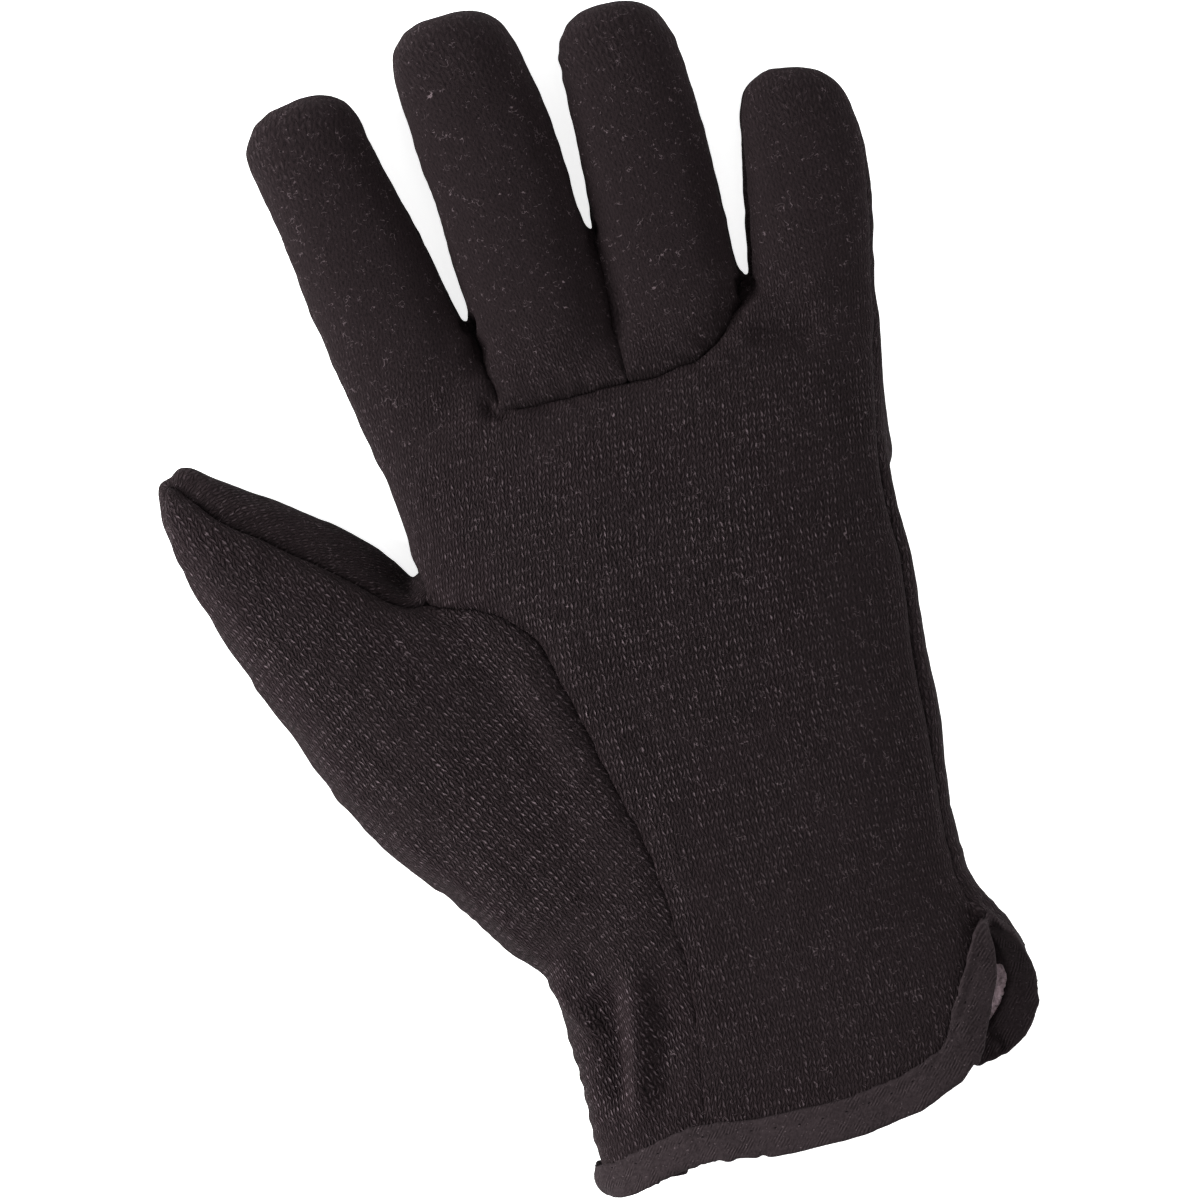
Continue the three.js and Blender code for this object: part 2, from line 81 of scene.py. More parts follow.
# The photograph: turned by 13 degrees, 0.22 mm a pixel, the hand's origin at this pixel
TURN = math.radians(13)
PIXEL = 0.22
ORIGIN_PIXEL = (780, 1140)
LOOK_AT_PIXEL = (600, 600)
LENS = 300
SENSOR = 36
SEEN_HEIGHT = 14
EYE_HEIGHT = 1200 * PIXEL * LENS / SENSOR + SEEN_HEIGHT


def in_hand(px, py):
    """A pixel of the photograph as millimetres in the hand's own axes."""
    vx, vy = px - ORIGIN_PIXEL[0], ORIGIN_PIXEL[1] - py
    return (
        (vx * math.cos(TURN) + vy * math.sin(TURN)) * PIXEL,
        (-vx * math.sin(TURN) + vy * math.cos(TURN)) * PIXEL,
    )


def link(name, mesh):
    o = bpy.data.objects.new(name, mesh)
    bpy.context.scene.collection.objects.link(o)
    return o


def modify(o, kind, **settings):
    """Adds a modifier and applies it at once."""
    m = o.modifiers.new(kind.lower(), kind)
    for key, value in settings.items():
        setattr(m, key, value)
    bpy.context.view_layer.objects.active = o
    bpy.ops.object.modifier_apply(modifier=m.name)
    return o


def points_of(mesh):
    co = np.empty(len(mesh.vertices) * 3)
    mesh.vertices.foreach_get("co", co)
    return co.reshape(-1, 3)


def normals_of(mesh):
    no = np.empty(len(mesh.vertices) * 3)
    mesh.vertices.foreach_get("normal", no)
    return no.reshape(-1, 3)


def corners_of(mesh):
    """The point at each corner of each face."""
    corner = np.empty(len(mesh.loops), np.int64)
    mesh.loops.foreach_get("vertex_index", corner)
    return corner


def spans_of(mesh):
    """Where the corners of each face start, and how many it has."""
    starts = np.empty(len(mesh.polygons), np.int64)
    totals = np.empty(len(mesh.polygons), np.int64)
    mesh.polygons.foreach_get("loop_start", starts)
    mesh.polygons.foreach_get("loop_total", totals)
    return starts, totals


def layout_of(mesh):
    """The flat layout at each corner of each face."""
    uv = np.empty(len(mesh.loops) * 2)
    mesh.uv_layers[0].data.foreach_get("uv", uv)
    return uv.reshape(-1, 2)


def edges_of(mesh):
    e = np.empty(len(mesh.edges) * 2, np.int64)
    mesh.edges.foreach_get("vertices", e)
    return e.reshape(-1, 2)


def set_points(mesh, co):
    mesh.vertices.foreach_set("co", np.ascontiguousarray(co, dtype=np.float64).ravel())
    mesh.update()


def averaged(co, edges):
    """Each point's mean over its neighbours."""
    total = np.zeros_like(co)
    count = np.zeros(len(co))
    np.add.at(total, edges[:, 0], co[edges[:, 1]])
    np.add.at(total, edges[:, 1], co[edges[:, 0]])
    np.add.at(count, edges.ravel(), 1)
    return np.where(count[:, None] > 0, total / np.maximum(count, 1)[:, None], co)


def smoothed(co, edges, rounds, hold=None):
    """Smooths without shrinking: each round in is followed by a slightly larger round out."""
    co = co.copy()
    free = np.ones(len(co)) if hold is None else 1.0 - hold
    for _ in range(rounds):
        for step in (0.5, -0.52):
            co += step * free[:, None] * (averaged(co, edges) - co)
    return co


def ramp(t):
    t = np.clip(t, 0, 1)
    return t * t * (3 - 2 * t)


def evened(row, rounds):
    """Draws each value of a row towards its two neighbours; the ends stay."""
    for _ in range(rounds):
        row[1:-1] = (row[:-2] + 2 * row[1:-1] + row[2:]) / 4
    return row


# The fit to the photograph's outline: spacing of its line's points, and blend at the line's two ends (mm)
FIT_SPACING = 0.4
FIT_BLEND = 2.5


def fitted(co, pixels, reach):
    """Points moved in plan so that their rim follows a line of pixels, with the outside on its left."""
    corners = np.array([in_hand(*p) for p in pixels])
    gone = np.r_[0, np.cumsum(np.linalg.norm(np.diff(corners, axis=0), axis=1))]
    steps = np.arange(0, gone[-1], FIT_SPACING)
    line = evened(np.stack([np.interp(steps, gone, corners[:, k]) for k in (0, 1)], 1), 15)
    way = np.gradient(line, axis=0)
    way /= np.linalg.norm(way, axis=1)[:, None]
    out = np.stack([-way[:, 1], way[:, 0]], 1)
    middle = np.array(in_hand(*LOOK_AT_PIXEL))
    nearer = (EYE_HEIGHT - SEEN_HEIGHT) / (EYE_HEIGHT - co[:, 2:] / MM)
    hand = middle + (co[:, :2] / MM - HAND - middle) * nearer
    inside = (hand > line.min(0) - 2 * reach) & (hand < line.max(0) + 2 * reach)
    near = np.nonzero(inside.all(1))[0]
    away = hand[near][:, None] - line[None]
    far = np.linalg.norm(away, axis=2)
    nearest = far.argmin(1)
    far = far.min(1)
    over = (away[np.arange(len(near)), nearest] * out[nearest]).sum(1)
    # The farthest point over each step of the line, filled in where there is none
    rim = np.full(len(line), -np.inf)
    np.maximum.at(rim, nearest[far < reach], over[far < reach])
    known = np.isfinite(rim)
    rim = evened(np.interp(steps, steps[known], rim[known]), 4)
    ends = ramp(steps / FIT_BLEND) * ramp((steps[-1] - steps) / FIT_BLEND)
    weight = ramp(1 + (over - rim[nearest]) / reach) * ends[nearest] * (far < 2 * reach)
    moved = co.copy()
    moved[near, :2] -= (rim[nearest] * weight)[:, None] * out[nearest] * MM
    return moved


def around(co, spot, reach):
    """1 at a spot of the hand, in plan, falling softly to 0 beyond the reach."""
    return np.exp(-((np.linalg.norm(co[:, :2] / MM - HAND - spot, axis=1) / reach) ** 2))


# The filled form

# Neighbouring fingers almost touch, so for the remesh they are fanned out above these forks and brought
# back after it: the line between two fingers in the hand's millimetres, the first point being the fork
FORKS = [((-25.9, 188.5), (-38.9, 277.3)), ((4.2, 201.0), (1.4, 280.9)), ((34.7, 184.0), (39.0, 263.9))]
FAN = 0.6
# A small step in the outline of the little-finger side, smoothed after the remesh, and its reach (mm)
SIDE_STEP = (57, 139.5)
SIDE_STEP_REACH = 9


def fanned(co, way):
    """Points with the fingers fanned out, or brought back again for way -1."""
    x, y = co[:, 0] / MM - HAND[0], co[:, 1] / MM - HAND[1]
    spread = [FAN * np.maximum(y - fork[0][1], 0) for fork in FORKS]
    # Shift of each finger, from the index to the little one; the middle finger stays
    shifts = [-spread[0], np.zeros(len(y)), spread[1], spread[1] + spread[2]]
    out = shifts[0].copy()
    for k, (low, high) in enumerate(FORKS):
        line = low[0] + (high[0] - low[0]) * (y - low[1]) / (high[1] - low[1])
        if way < 0:
            line = line + (shifts[k] + shifts[k + 1]) / 2
        out = np.where(x > line, shifts[k + 1], out)
    co = co.copy()
    co[:, 0] += way * out * MM
    return co


def filled_form():
    """The glove's outer surface as one closed mesh: the cloth nodes, plugged at the cuff and remeshed."""
    bm = bmesh.new()
    for name in JERSEY:
        bm.from_mesh(bpy.data.objects[name].data)
    bmesh.ops.remove_doubles(bm, verts=bm.verts, dist=0.001 * MM)
    for fork in FORKS:
        level = (0, (fork[0][1] + HAND[1]) * MM, 0)
        everything = bm.verts[:] + bm.edges[:] + bm.faces[:]
        bmesh.ops.bisect_plane(bm, geom=everything, plane_co=level, plane_no=(0, 1, 0))
    bmesh.ops.triangulate(bm, faces=bm.faces)
    cuff = [v.co.copy() for v in bm.verts if v.co.y < PLUG_END]
    mesh = bpy.data.meshes.new("form")
    bm.to_mesh(mesh)
    bm.free()
    set_points(mesh, fanned(points_of(mesh), 1))
    plug = bmesh.new()
    for co in cuff:
        plug.verts.new(co)
    bmesh.ops.convex_hull(plug, input=plug.verts)
    plug_mesh = bpy.data.meshes.new("plug")
    plug.to_mesh(plug_mesh)
    plug.free()
    form, stopper = link("form", mesh), link("plug", plug_mesh)
    bpy.ops.object.select_all(action="DESELECT")
    form.select_set(True)
    stopper.select_set(True)
    bpy.context.view_layer.objects.active = form
    bpy.ops.object.join()
    modify(form, "REMESH", mode="VOXEL", voxel_size=COARSE)
    edges = edges_of(form.data)
    co = smoothed(points_of(form.data), edges, 12)
    co = smoothed(co, edges, 60, 1 - around(co, SIDE_STEP, SIDE_STEP_REACH))
    set_points(form.data, fanned(co, -1))
    return form


form = filled_form()


# Which panel each face of the form belongs to

# The vent's apex in the hand's millimetres. The tape's top end slants down from it along the back.
APEX = (55.1, 38.3)
TAPE_END_SLOPE = 0.82
TAPE_END_WIDTH = 8


def tape_top(x):
    return APEX[1] - TAPE_END_SLOPE * np.clip(x - APEX[0], 0, TAPE_END_WIDTH)


def tree_of(mesh):
    mesh.calc_loop_triangles()
    tri = np.empty(len(mesh.loop_triangles) * 3, np.int32)
    mesh.loop_triangles.foreach_get("vertices", tri)
    return BVHTree.FromPolygons([Vector(c) for c in points_of(mesh)], tri.reshape(-1, 3).tolist())


# The seam along the little-finger side, as far as it shows (pixels)
SIDE_LINE = [
    (880, 350), (883, 400), (885, 450), (886, 480), (889, 510), (896, 536), (903, 570), (908, 598),
    (912, 620), (921, 680), (930, 740), (941, 800), (955, 855),
]
# The crotch of the thumb, around which the front is all palm panel
THUMB_CROTCH = in_hand(424, 592)


def above_vent(co):
    """Whether a point is over the slanting top end of the back's tape, where the cloth goes on."""
    x, y = co.x / MM - HAND[0], co.y / MM - HAND[1]
    return 53 < x < 64 and tape_top(x) - 0.6 < y < VENT_TOP


def panel_labels(mesh):
    """For each face the number of the nearest cloth node, or -1 over the open mouth and vent."""
    trees = [tree_of(bpy.data.objects[name].data) for name in JERSEY]
    side_line = np.array(sorted(in_hand(*p)[::-1] for p in SIDE_LINE))
    labels = np.full(len(mesh.polygons), -1)
    for face in mesh.polygons:
        centre = face.center
        far = [tree.find_nearest(centre, 6 * MM)[3] for tree in trees]
        far = [9.0 if d is None else d for d in far]
        best = int(np.argmin(far))
        if far[best] < 1.3 * MM:
            x, y = centre.x / MM - HAND[0], centre.y / MM - HAND[1]
            beside = side_line[0, 0] < y < side_line[-1, 0]
            if best == PALM and beside and x > np.interp(y, side_line[:, 0], side_line[:, 1]):
                best = BACK
            if best == BACK and centre.z > 9 * MM and math.dist((x, y), THUMB_CROTCH) < 8:
                best = PALM
            labels[face.index] = best
        elif above_vent(centre):
            labels[face.index] = JERSEY.index("back_panel")
    return labels


labels = panel_labels(form.data)


def quads_of(mesh):
    """The points of each face."""
    corner = corners_of(mesh)
    return [corner[start:start + total] for start, total in zip(*spans_of(mesh))]


def border_edges(faces, labels):
    """Edges between two faces of different labels, with the pair of labels."""
    first, out = {}, {}
    for k, face in enumerate(faces):
        for a, b in zip(face, np.roll(face, -1)):
            key = (min(a, b), max(a, b))
            if key in first:
                other = labels[first[key]]
                if other != labels[k]:
                    out[key] = (min(other, labels[k]), max(other, labels[k]))
            else:
                first[key] = k
    return out


def clean_labels(faces, labels, rounds=4):
    """Takes single stray faces into what surrounds them."""
    edge_faces = {}
    for k, face in enumerate(faces):
        for a, b in zip(face, np.roll(face, -1)):
            edge_faces.setdefault((min(a, b), max(a, b)), []).append(k)
    pairs = np.array([p for p in edge_faces.values() if len(p) == 2])
    for _ in range(rounds):
        votes = np.zeros((len(faces), len(JERSEY) + 1))
        np.add.at(votes, (pairs[:, 0], labels[pairs[:, 1]]), 1)
        np.add.at(votes, (pairs[:, 1], labels[pairs[:, 0]]), 1)
        own = votes[np.arange(len(faces)), labels]
        best = votes.argmax(1)
        swap = (own <= 1) & (votes.max(1) >= 2) & (best != labels)
        labels = np.where(swap, best, labels)
    return labels


# Sharp corners of the seams across the finger roots, and the ends of the thumb's seams (pixels)
CORNERS = [(496, 410), (622, 379), (745, 300), (425, 586), (168, 478)]


def straighten(form, labels):
    """Smooths the lines between panels, which the remesh leaves in steps, along the form's surface."""
    mesh = form.data
    faces = quads_of(mesh)
    labels = clean_labels(faces, labels % (len(JERSEY) + 1))
    labels = np.where(labels == len(JERSEY), -1, labels)
    surface = tree_of(mesh)
    border = border_edges(faces, labels)
    near = {}
    for a, b in border:
        near.setdefault(a, []).append(b)
        near.setdefault(b, []).append(a)
    co = points_of(mesh)
    edges = edges_of(mesh)
    verts = np.array(list(near))
    held = set()
    for pixel in CORNERS:
        spot = (np.array(in_hand(*pixel)) + HAND) * MM
        apart = np.linalg.norm(co[verts, :2] - spot, axis=1) + 9 * (co[verts, 2] < SIDE_SEAM_HEIGHT * MM)
        pick = verts[apart.argmin()]
        if apart.min() < 5 * MM:
            co[pick, :2] = 0.35 * co[pick, :2] + 0.65 * spot
            held.add(pick)
    line = np.array([v for v, n in near.items() if len(n) == 2 and v not in held])
    ends = np.array([near[v] for v in line])
    on_border = np.zeros(len(co))
    on_border[verts] = 1.0
    for _ in range(4):
        for _ in range(4):
            co[line] = 0.5 * co[line] + 0.25 * (co[ends[:, 0]] + co[ends[:, 1]])
        for _ in range(4):
            co += 0.5 * (1 - on_border)[:, None] * (averaged(co, edges) - co)
        co = np.array([surface.find_nearest(Vector(c))[0] for c in co])
    set_points(mesh, co)
    return labels, border, faces


labels, border, faces = straighten(form, labels)


def tree_of_points(spots):
    tree = KDTree(len(spots))
    for i, spot in enumerate(spots):
        tree.insert(Vector(spot), i)
    tree.balance()
    return tree


def border_samples():
    """Points along every line between panels, eight to an edge, with the two panels' numbers."""
    co = points_of(form.data)
    spots, kinds = [], []
    for (a, b), pair in border.items():
        for t in np.linspace(0, 1, 8, endpoint=False):
            spots.append(co[a] + t * (co[b] - co[a]))
            kinds.append(pair)
    return np.array(spots), np.array(kinds)


border_spots, border_kinds = border_samples()
border_tree = tree_of_points(border_spots)
cuff_edge = (border_kinds.min(1) < 0) & (border_spots[:, 1] < (VENT_TOP + HAND[1]) * MM)
free_tree = tree_of_points(border_spots[cuff_edge])


def to_free_edge(co):
    """Distance in millimetres from the cloth's free edges at the cuff and the vent."""
    return np.array([free_tree.find(Vector(c))[2] for c in co]) / MM


# Panels: split, unwrapped to the cloth's own millimetres, subdivided


def write_vectors(mesh, name, values):
    layer = mesh.attributes.new(name, "FLOAT_VECTOR", "POINT")
    layer.data.foreach_set("vector", np.ascontiguousarray(values).ravel())


def write_values(mesh, name, values):
    layer = mesh.attributes.new(name, "FLOAT", "POINT")
    layer.data.foreach_set("value", np.ascontiguousarray(values, dtype=np.float32))


def read_vectors(mesh, name):
    values = np.empty(len(mesh.vertices) * 3)
    mesh.attributes[name].data.foreach_get("vector", values)
    return values.reshape(-1, 3)


# The jersey ends this far inside the tape at the hem, and farther by this in the vent's back side (mm)
HEM_TRIM = 2.3
VENT_TRIM = 2.6


def panel(name, k):
    """One panel of the form as its own open mesh, which keeps the form's normals."""
    co, no = points_of(form.data), normals_of(form.data)
    low = co[:, 1] / MM - HAND[1] < 27
    in_vent = (co[:, 0] / MM - HAND[0] > 48) & (co[:, 2] < VENT_SPLIT)
    trimmed = low & (to_free_edge(co) < HEM_TRIM + VENT_TRIM * in_vent)
    own = [faces[i] for i in np.nonzero(labels == k)[0] if not trimmed[faces[i]].all()]
    used = np.unique(np.concatenate(own))
    index = np.full(len(co), -1)
    index[used] = np.arange(len(used))
    mesh = bpy.data.meshes.new(name)
    mesh.from_pydata(co[used].tolist(), [], [index[f].tolist() for f in own])
    write_vectors(mesh, "outward", no[used])
    return link(name, mesh)


# Lean of the ribs from +Y, to the thumb side, at heights up the hand, in millimetres and degrees.
# "turn" is the piece's own straight grain.
GRAIN = {
    "palm_panel": (0, [(0, -10), (25, 0), (60, 2), (90, 1), (130, -9), (165, -10), (200, -5), (260, -4)]),
    "middle_finger_front": (10, [(0, 0), (1, 0)]),
    "ring_finger_front": (4, [(0, 0), (1, 0)]),
    "back_panel": (0, [(0, 0), (1, 0)]),
    "thumb_front": (30, [(-40, -22), (20, -18), (55, -4), (80, 0), (150, 0)]),
    "thumb_back": (28, [(0, 0), (1, 0)]),
}


def unwrap(o, name):
    """Lays the panel flat, then turns and scales the layout: millimetres, with v along the ribs."""
    bpy.ops.object.select_all(action="DESELECT")
    o.select_set(True)
    bpy.context.view_layer.objects.active = o
    bpy.ops.object.mode_set(mode="EDIT")
    bpy.ops.mesh.select_all(action="SELECT")
    bpy.ops.uv.unwrap(method="ANGLE_BASED", margin=0)
    bpy.ops.object.mode_set(mode="OBJECT")
    mesh = o.data
    flat = layout_of(mesh) @ np.array([1, 1j])
    corner = corners_of(mesh)
    co = points_of(mesh) / MM
    up = read_vectors(mesh, "outward")[:, 2]
    facing = 1 if up.mean() > 0 else -1
    turn, leans = GRAIN[name]
    hand = facing * (co[:, 0] - HAND[0]) + 1j * (co[:, 1] - HAND[1])
    place = (hand * np.exp(-1j * math.radians(facing * turn)))[corner]
    weight = np.clip(facing * up, 0, 1)[corner] ** 4

    def mean(values):
        return (weight * values).sum() / weight.sum()

    a, b = flat - mean(flat), place - mean(place)
    scale = mean(b * np.conj(a)) / mean(abs(a) ** 2)
    laid = scale * a + mean(place)
    v = np.arange(-60, 330)
    lean = np.interp(v, [p[0] for p in leans], [p[1] for p in leans])
    shift = np.cumsum(np.tan(np.radians(lean)))
    u = laid.real + facing * np.interp(laid.imag, v, shift)
    mesh.uv_layers[0].data.foreach_set("uv", np.stack([u, laid.imag], 1).ravel())


panels = {name: panel(name + "_cloth", k) for k, name in enumerate(JERSEY)}


# Seams: how deep the valley is and how wide, and how strong and how long its puckers are (mm)
SEAMS = {
    (PALM, THUMB): (1.9, 2.4, 0.5, 9.0),
    (PALM, MIDDLE): (2.8, 2.2, 0.6, 8.0),
    (PALM, RING): (2.8, 2.4, 0.6, 8.0),
    (MIDDLE, RING): (1.4, 1.6, 0.4, 8.0),
    (PALM, BACK): (1.3, 1.5, 0.16, 7.5),
    (MIDDLE, BACK): (0.7, 1.6, 0.14, 7.0),
    (RING, BACK): (0.7, 1.6, 0.14, 7.0),
    (THUMB, STRIP): (1.8, 2.2, 0.5, 8.5),
    (BACK, THUMB): (1.0, 2.2, 0.2, 8.0),
    (BACK, STRIP): (0.7, 1.8, 0.2, 8.0),
    (PALM, STRIP): (1.0, 2.0, 0.4, 8.0),
}

# Folds seen in the photograph: pixels along the fold, height (below zero for a hollow), half width (mm)
FOLDS = [
    ([(738, 312), (764, 306), (800, 297), (838, 280)], 1.7, 2.6),
    ([(744, 326), (775, 332), (824, 330)], -1.7, 3.4),
    ([(634, 945), (640, 1030), (643, 1125)], 3.0, 3.2),
    ([(606, 975), (616, 1045), (620, 1110)], -2.5, 3.0),
    ([(556, 985), (574, 1004), (600, 1034)], 1.6, 2.0),
    ([(590, 990), (597, 1010), (603, 1030)], -1.2, 2.0),
    ([(514, 412), (502, 416), (491, 412), (487, 404), (493, 397)], -1.4, 1.1),
    ([(575, 940), (600, 980)], -1.3, 3.0),
    ([(668, 990), (664, 1040), (655, 1100)], -1.5, 4.0),
    ([(505, 640), (560, 720), (600, 800)], 1.0, 6.0),
    ([(468, 326), (482, 356), (498, 392)], 1.4, 3.4),
    ([(440, 590), (486, 600), (530, 622)], 0.9, 3.0),
    ([(973, 898), (980, 907), (985, 914)], 0.8, 1.1),
    ([(966, 903), (973, 917), (977, 926)], -0.9, 1.4),
    ([(980, 897), (994, 905), (1008, 918)], -0.9, 1.0),
]

# Small pulls at the outline, as with a grab brush: pixel, pull to the photograph's right and up, reach (mm)
PULLS = [
    ((252, 150), (-1.6, 0.2), 13),
    ((285, 290), (-1.2, -0.3), 20),
    ((340, 420), (-1.0, -0.3), 20),
    ((400, 535), (0.9, 0.2), 12),
    ((372, 140), (-0.6, 0.0), 10),
    ((402, 40), (-1.4, 0.2), 12),
    ((418, 150), (-0.9, 0.0), 14),
    ((462, 280), (-0.6, 0.0), 12),
    ((512, 45), (-1.2, -0.8), 11),
    ((545, 120), (0.8, 0.1), 12),
    ((567, 115), (-0.6, 0.0), 9),
    ((655, 22), (-0.4, -0.8), 10),
    ((702, 140), (1.0, 0.0), 18),
    ((724, 215), (0.7, 0.0), 12),
    ((748, 205), (-0.8, 0.0), 14),
    ((752, 88), (-0.8, 0.3), 10),
    ((838, 88), (-0.9, -0.6), 10),
    ((864, 150), (0.6, 0.2), 10),
    ((868, 205), (1.0, 0.0), 14),
    ((878, 300), (-0.9, 0.0), 13),
    ((888, 420), (-1.1, 0.0), 15),
    ((908, 560), (0.8, 0.0), 10),
    ((932, 650), (-0.6, 0.0), 13),
    ((972, 870), (-1.2, -0.6), 12),
    ((172, 482), (-0.7, 0.9), 12),
    ((170, 479), (1.0, -0.8), 2.2),
    ((195, 585), (-0.9, -0.4), 18),
    ((250, 680), (-0.6, -0.4), 20),
    ((350, 800), (-0.6, -0.4), 20),
    ((460, 900), (-0.6, -0.5), 20),
    ((420, 575), (0.4, -1.6), 8),
]


def pulled_by(co, pulls):
    """Points moved in plan by pulls at pixels."""
    move = np.zeros_like(co)
    for pixel, (right, up), reach in pulls:
        x = right * math.cos(TURN) + up * math.sin(TURN)
        y = -right * math.sin(TURN) + up * math.cos(TURN)
        move += around(co, in_hand(*pixel), reach)[:, None] * np.array([x, y, 0]) * MM
    return co + move


# How far the knit shows through the nap, and where it shows more or less: pixel, change, reach (mm)
# With the knit, its painted highlights and painted shade show more or less
EVEN_WEAR = 0.55
WEAR = [
    ((690, 560), 0.5, 36), ((800, 420), 0.25, 18), ((400, 740), 0.55, 40), ((560, 860), 0.4, 28),
    ((610, 1060), 0.7, 22), ((250, 600), 0.4, 20), ((470, 190), -0.4, 42), ((630, 180), -0.4, 42),
    ((350, 250), -0.35, 36), ((820, 170), -0.3, 30), ((800, 930), -0.25, 24),
]


def off_polyline(xy, line):
    """Distance of points from a line in plan, and how far along it each is from 0 to 1."""
    best = np.full(len(xy), 1e9)
    along = np.zeros(len(xy))
    lengths = [math.dist(a, b) for a, b in zip(line, line[1:])]
    done = 0.0
    for a, b, length in zip(line, line[1:], lengths):
        a, b = np.array(a), np.array(b)
        t = np.clip(((xy - a) @ (b - a)) / length**2, 0, 1)
        d = np.linalg.norm(xy - (a + t[:, None] * (b - a)), axis=1)
        nearer = d < best
        best = np.where(nearer, d, best)
        along = np.where(nearer, (done + t * length) / sum(lengths), along)
        done += length
    return best, along


def unevenness(co, scale, seed):
    """Smooth noise over the surface, from -1 to 1, with features about scale millimetres across."""
    shift = Vector((seed * 17.1, seed * 5.3, seed * 9.7))
    return np.array([noise.noise(Vector(c) / (scale * MM) + shift) for c in co])


# The left end of the seam across the finger roots, where its valley is shallower
POCKET = in_hand(500, 409)


def sculpt(o):
    """Sinks the seams, raises puckers beside them and makes the folds."""
    mesh = o.data
    before = co = points_of(mesh)
    out = read_vectors(mesh, "outward")
    out /= np.linalg.norm(out, axis=1)[:, None]
    found = [border_tree.find(Vector(c)) for c in co]
    distance = np.array([f[2] for f in found]) / MM
    kind = border_kinds[[f[1] for f in found]]
    settings = np.array([SEAMS.get(tuple(k), (0, 1, 0, 8)) for k in kind])
    depth, width, pucker, period = settings.T
    wander = unevenness(co, 19, 3)
    phase = 2 * np.pi * (co[:, 0] * 0.55 + co[:, 1]) / MM / period + 9 * wander
    strength = 0.25 + 1.6 * np.abs(unevenness(co, 16, 5))
    hand = co[:, :2] / MM - HAND
    cuff = ramp((hand[:, 1] - 28) / 75)
    depth = depth * (0.22 + 0.78 * cuff)
    depth = depth * (1 - 0.75 * around(co, POCKET, 3.2))
    lift = -depth * (0.5 * np.exp(-distance / 0.9) + 0.5 * np.exp(-((distance / (1.2 * width)) ** 2)))
    lift += 0.14 * depth * np.exp(-(((distance - 2.4 * width) / (1.1 * width)) ** 2))
    beside = np.exp(-((distance / 5.5) ** 1.5)) * (1 - np.exp(-distance / 1.2))
    lift += pucker * strength * np.sin(phase) * beside
    upper = ramp((out[:, 2] + 0.1) / 0.5)
    for line, height, half in FOLDS:
        d, along = off_polyline(hand, [in_hand(*p) for p in line])
        taper = ramp(np.minimum(along, 1 - along) * 4 + 0.15)
        lift += height * np.exp(-((d / half) ** 2)) * taper * upper
    free = ramp(co[:, 2] / MM / 5)
    lift += free * (0.55 * unevenness(co, 26, 1) + 0.3 * unevenness(co, 10, 2))
    lift += 0.1 * unevenness(co, 3.2, 7) * free
    co = co + out * (lift * MM)[:, None]
    # The palm's seams wander a little sideways, apart from the side seam
    sideways = np.stack([unevenness(co, 5, 11), unevenness(co, 5, 12)], 1) * np.exp(-distance / 2.5)[:, None]
    co[:, :2] += 0.6 * MM * sideways * (kind[:, :1] == PALM) * (kind[:, 1:] != BACK)
    co = pulled_by(co, PULLS)
    co[:, 2] = np.maximum(co[:, 2], 0.1 * MM)
    set_points(mesh, co)
    # Wear of the nap, which also sets how strong the knit's painted highlights and painted shade are
    wear_and_painted_knit_shading = np.full(len(co), EVEN_WEAR)
    for pixel, change, reach in WEAR:
        wear_and_painted_knit_shading += change * upper * around(before, in_hand(*pixel), reach)
    write_values(mesh, "wear_and_painted_knit_shading", np.clip(wear_and_painted_knit_shading, 0, 1.6))
    # Painted shade: how much the colour is darkened in the seams' valleys
    write_values(mesh, "seam", np.clip(depth / 2.8, 0, 1) * np.exp(-distance / 0.9))


def mark_stretched(o):
    """Writes where the flat layout doesn't fit the cloth, so that the knit fades out there."""
    mesh = o.data
    uv = layout_of(mesh)
    co = points_of(mesh) / MM
    corner = corners_of(mesh)
    starts, totals = spans_of(mesh)
    after = np.arange(len(corner)) + 1
    after[starts + totals - 1] = starts
    laid = np.linalg.norm(uv[after] - uv, axis=1)
    real = np.linalg.norm(co[corner[after]] - co[corner], axis=1)
    misfit = np.abs(np.log(np.maximum(laid, 1e-3) / np.maximum(real, 1e-3)))
    total, count = np.zeros(len(co)), np.zeros(len(co))
    np.add.at(total, corner, misfit)
    np.add.at(count, corner, 1)
    write_values(mesh, "plain", ramp((total / np.maximum(count, 1) - 0.55) / 0.7))


def dress(o, material):
    """Gives a piece its one material, and smooth shading."""
    o.data.materials.clear()
    o.data.materials.append(material)
    o.data.polygons.foreach_set("use_smooth", [True] * len(o.data.polygons))
    o.data.update()


# Materials


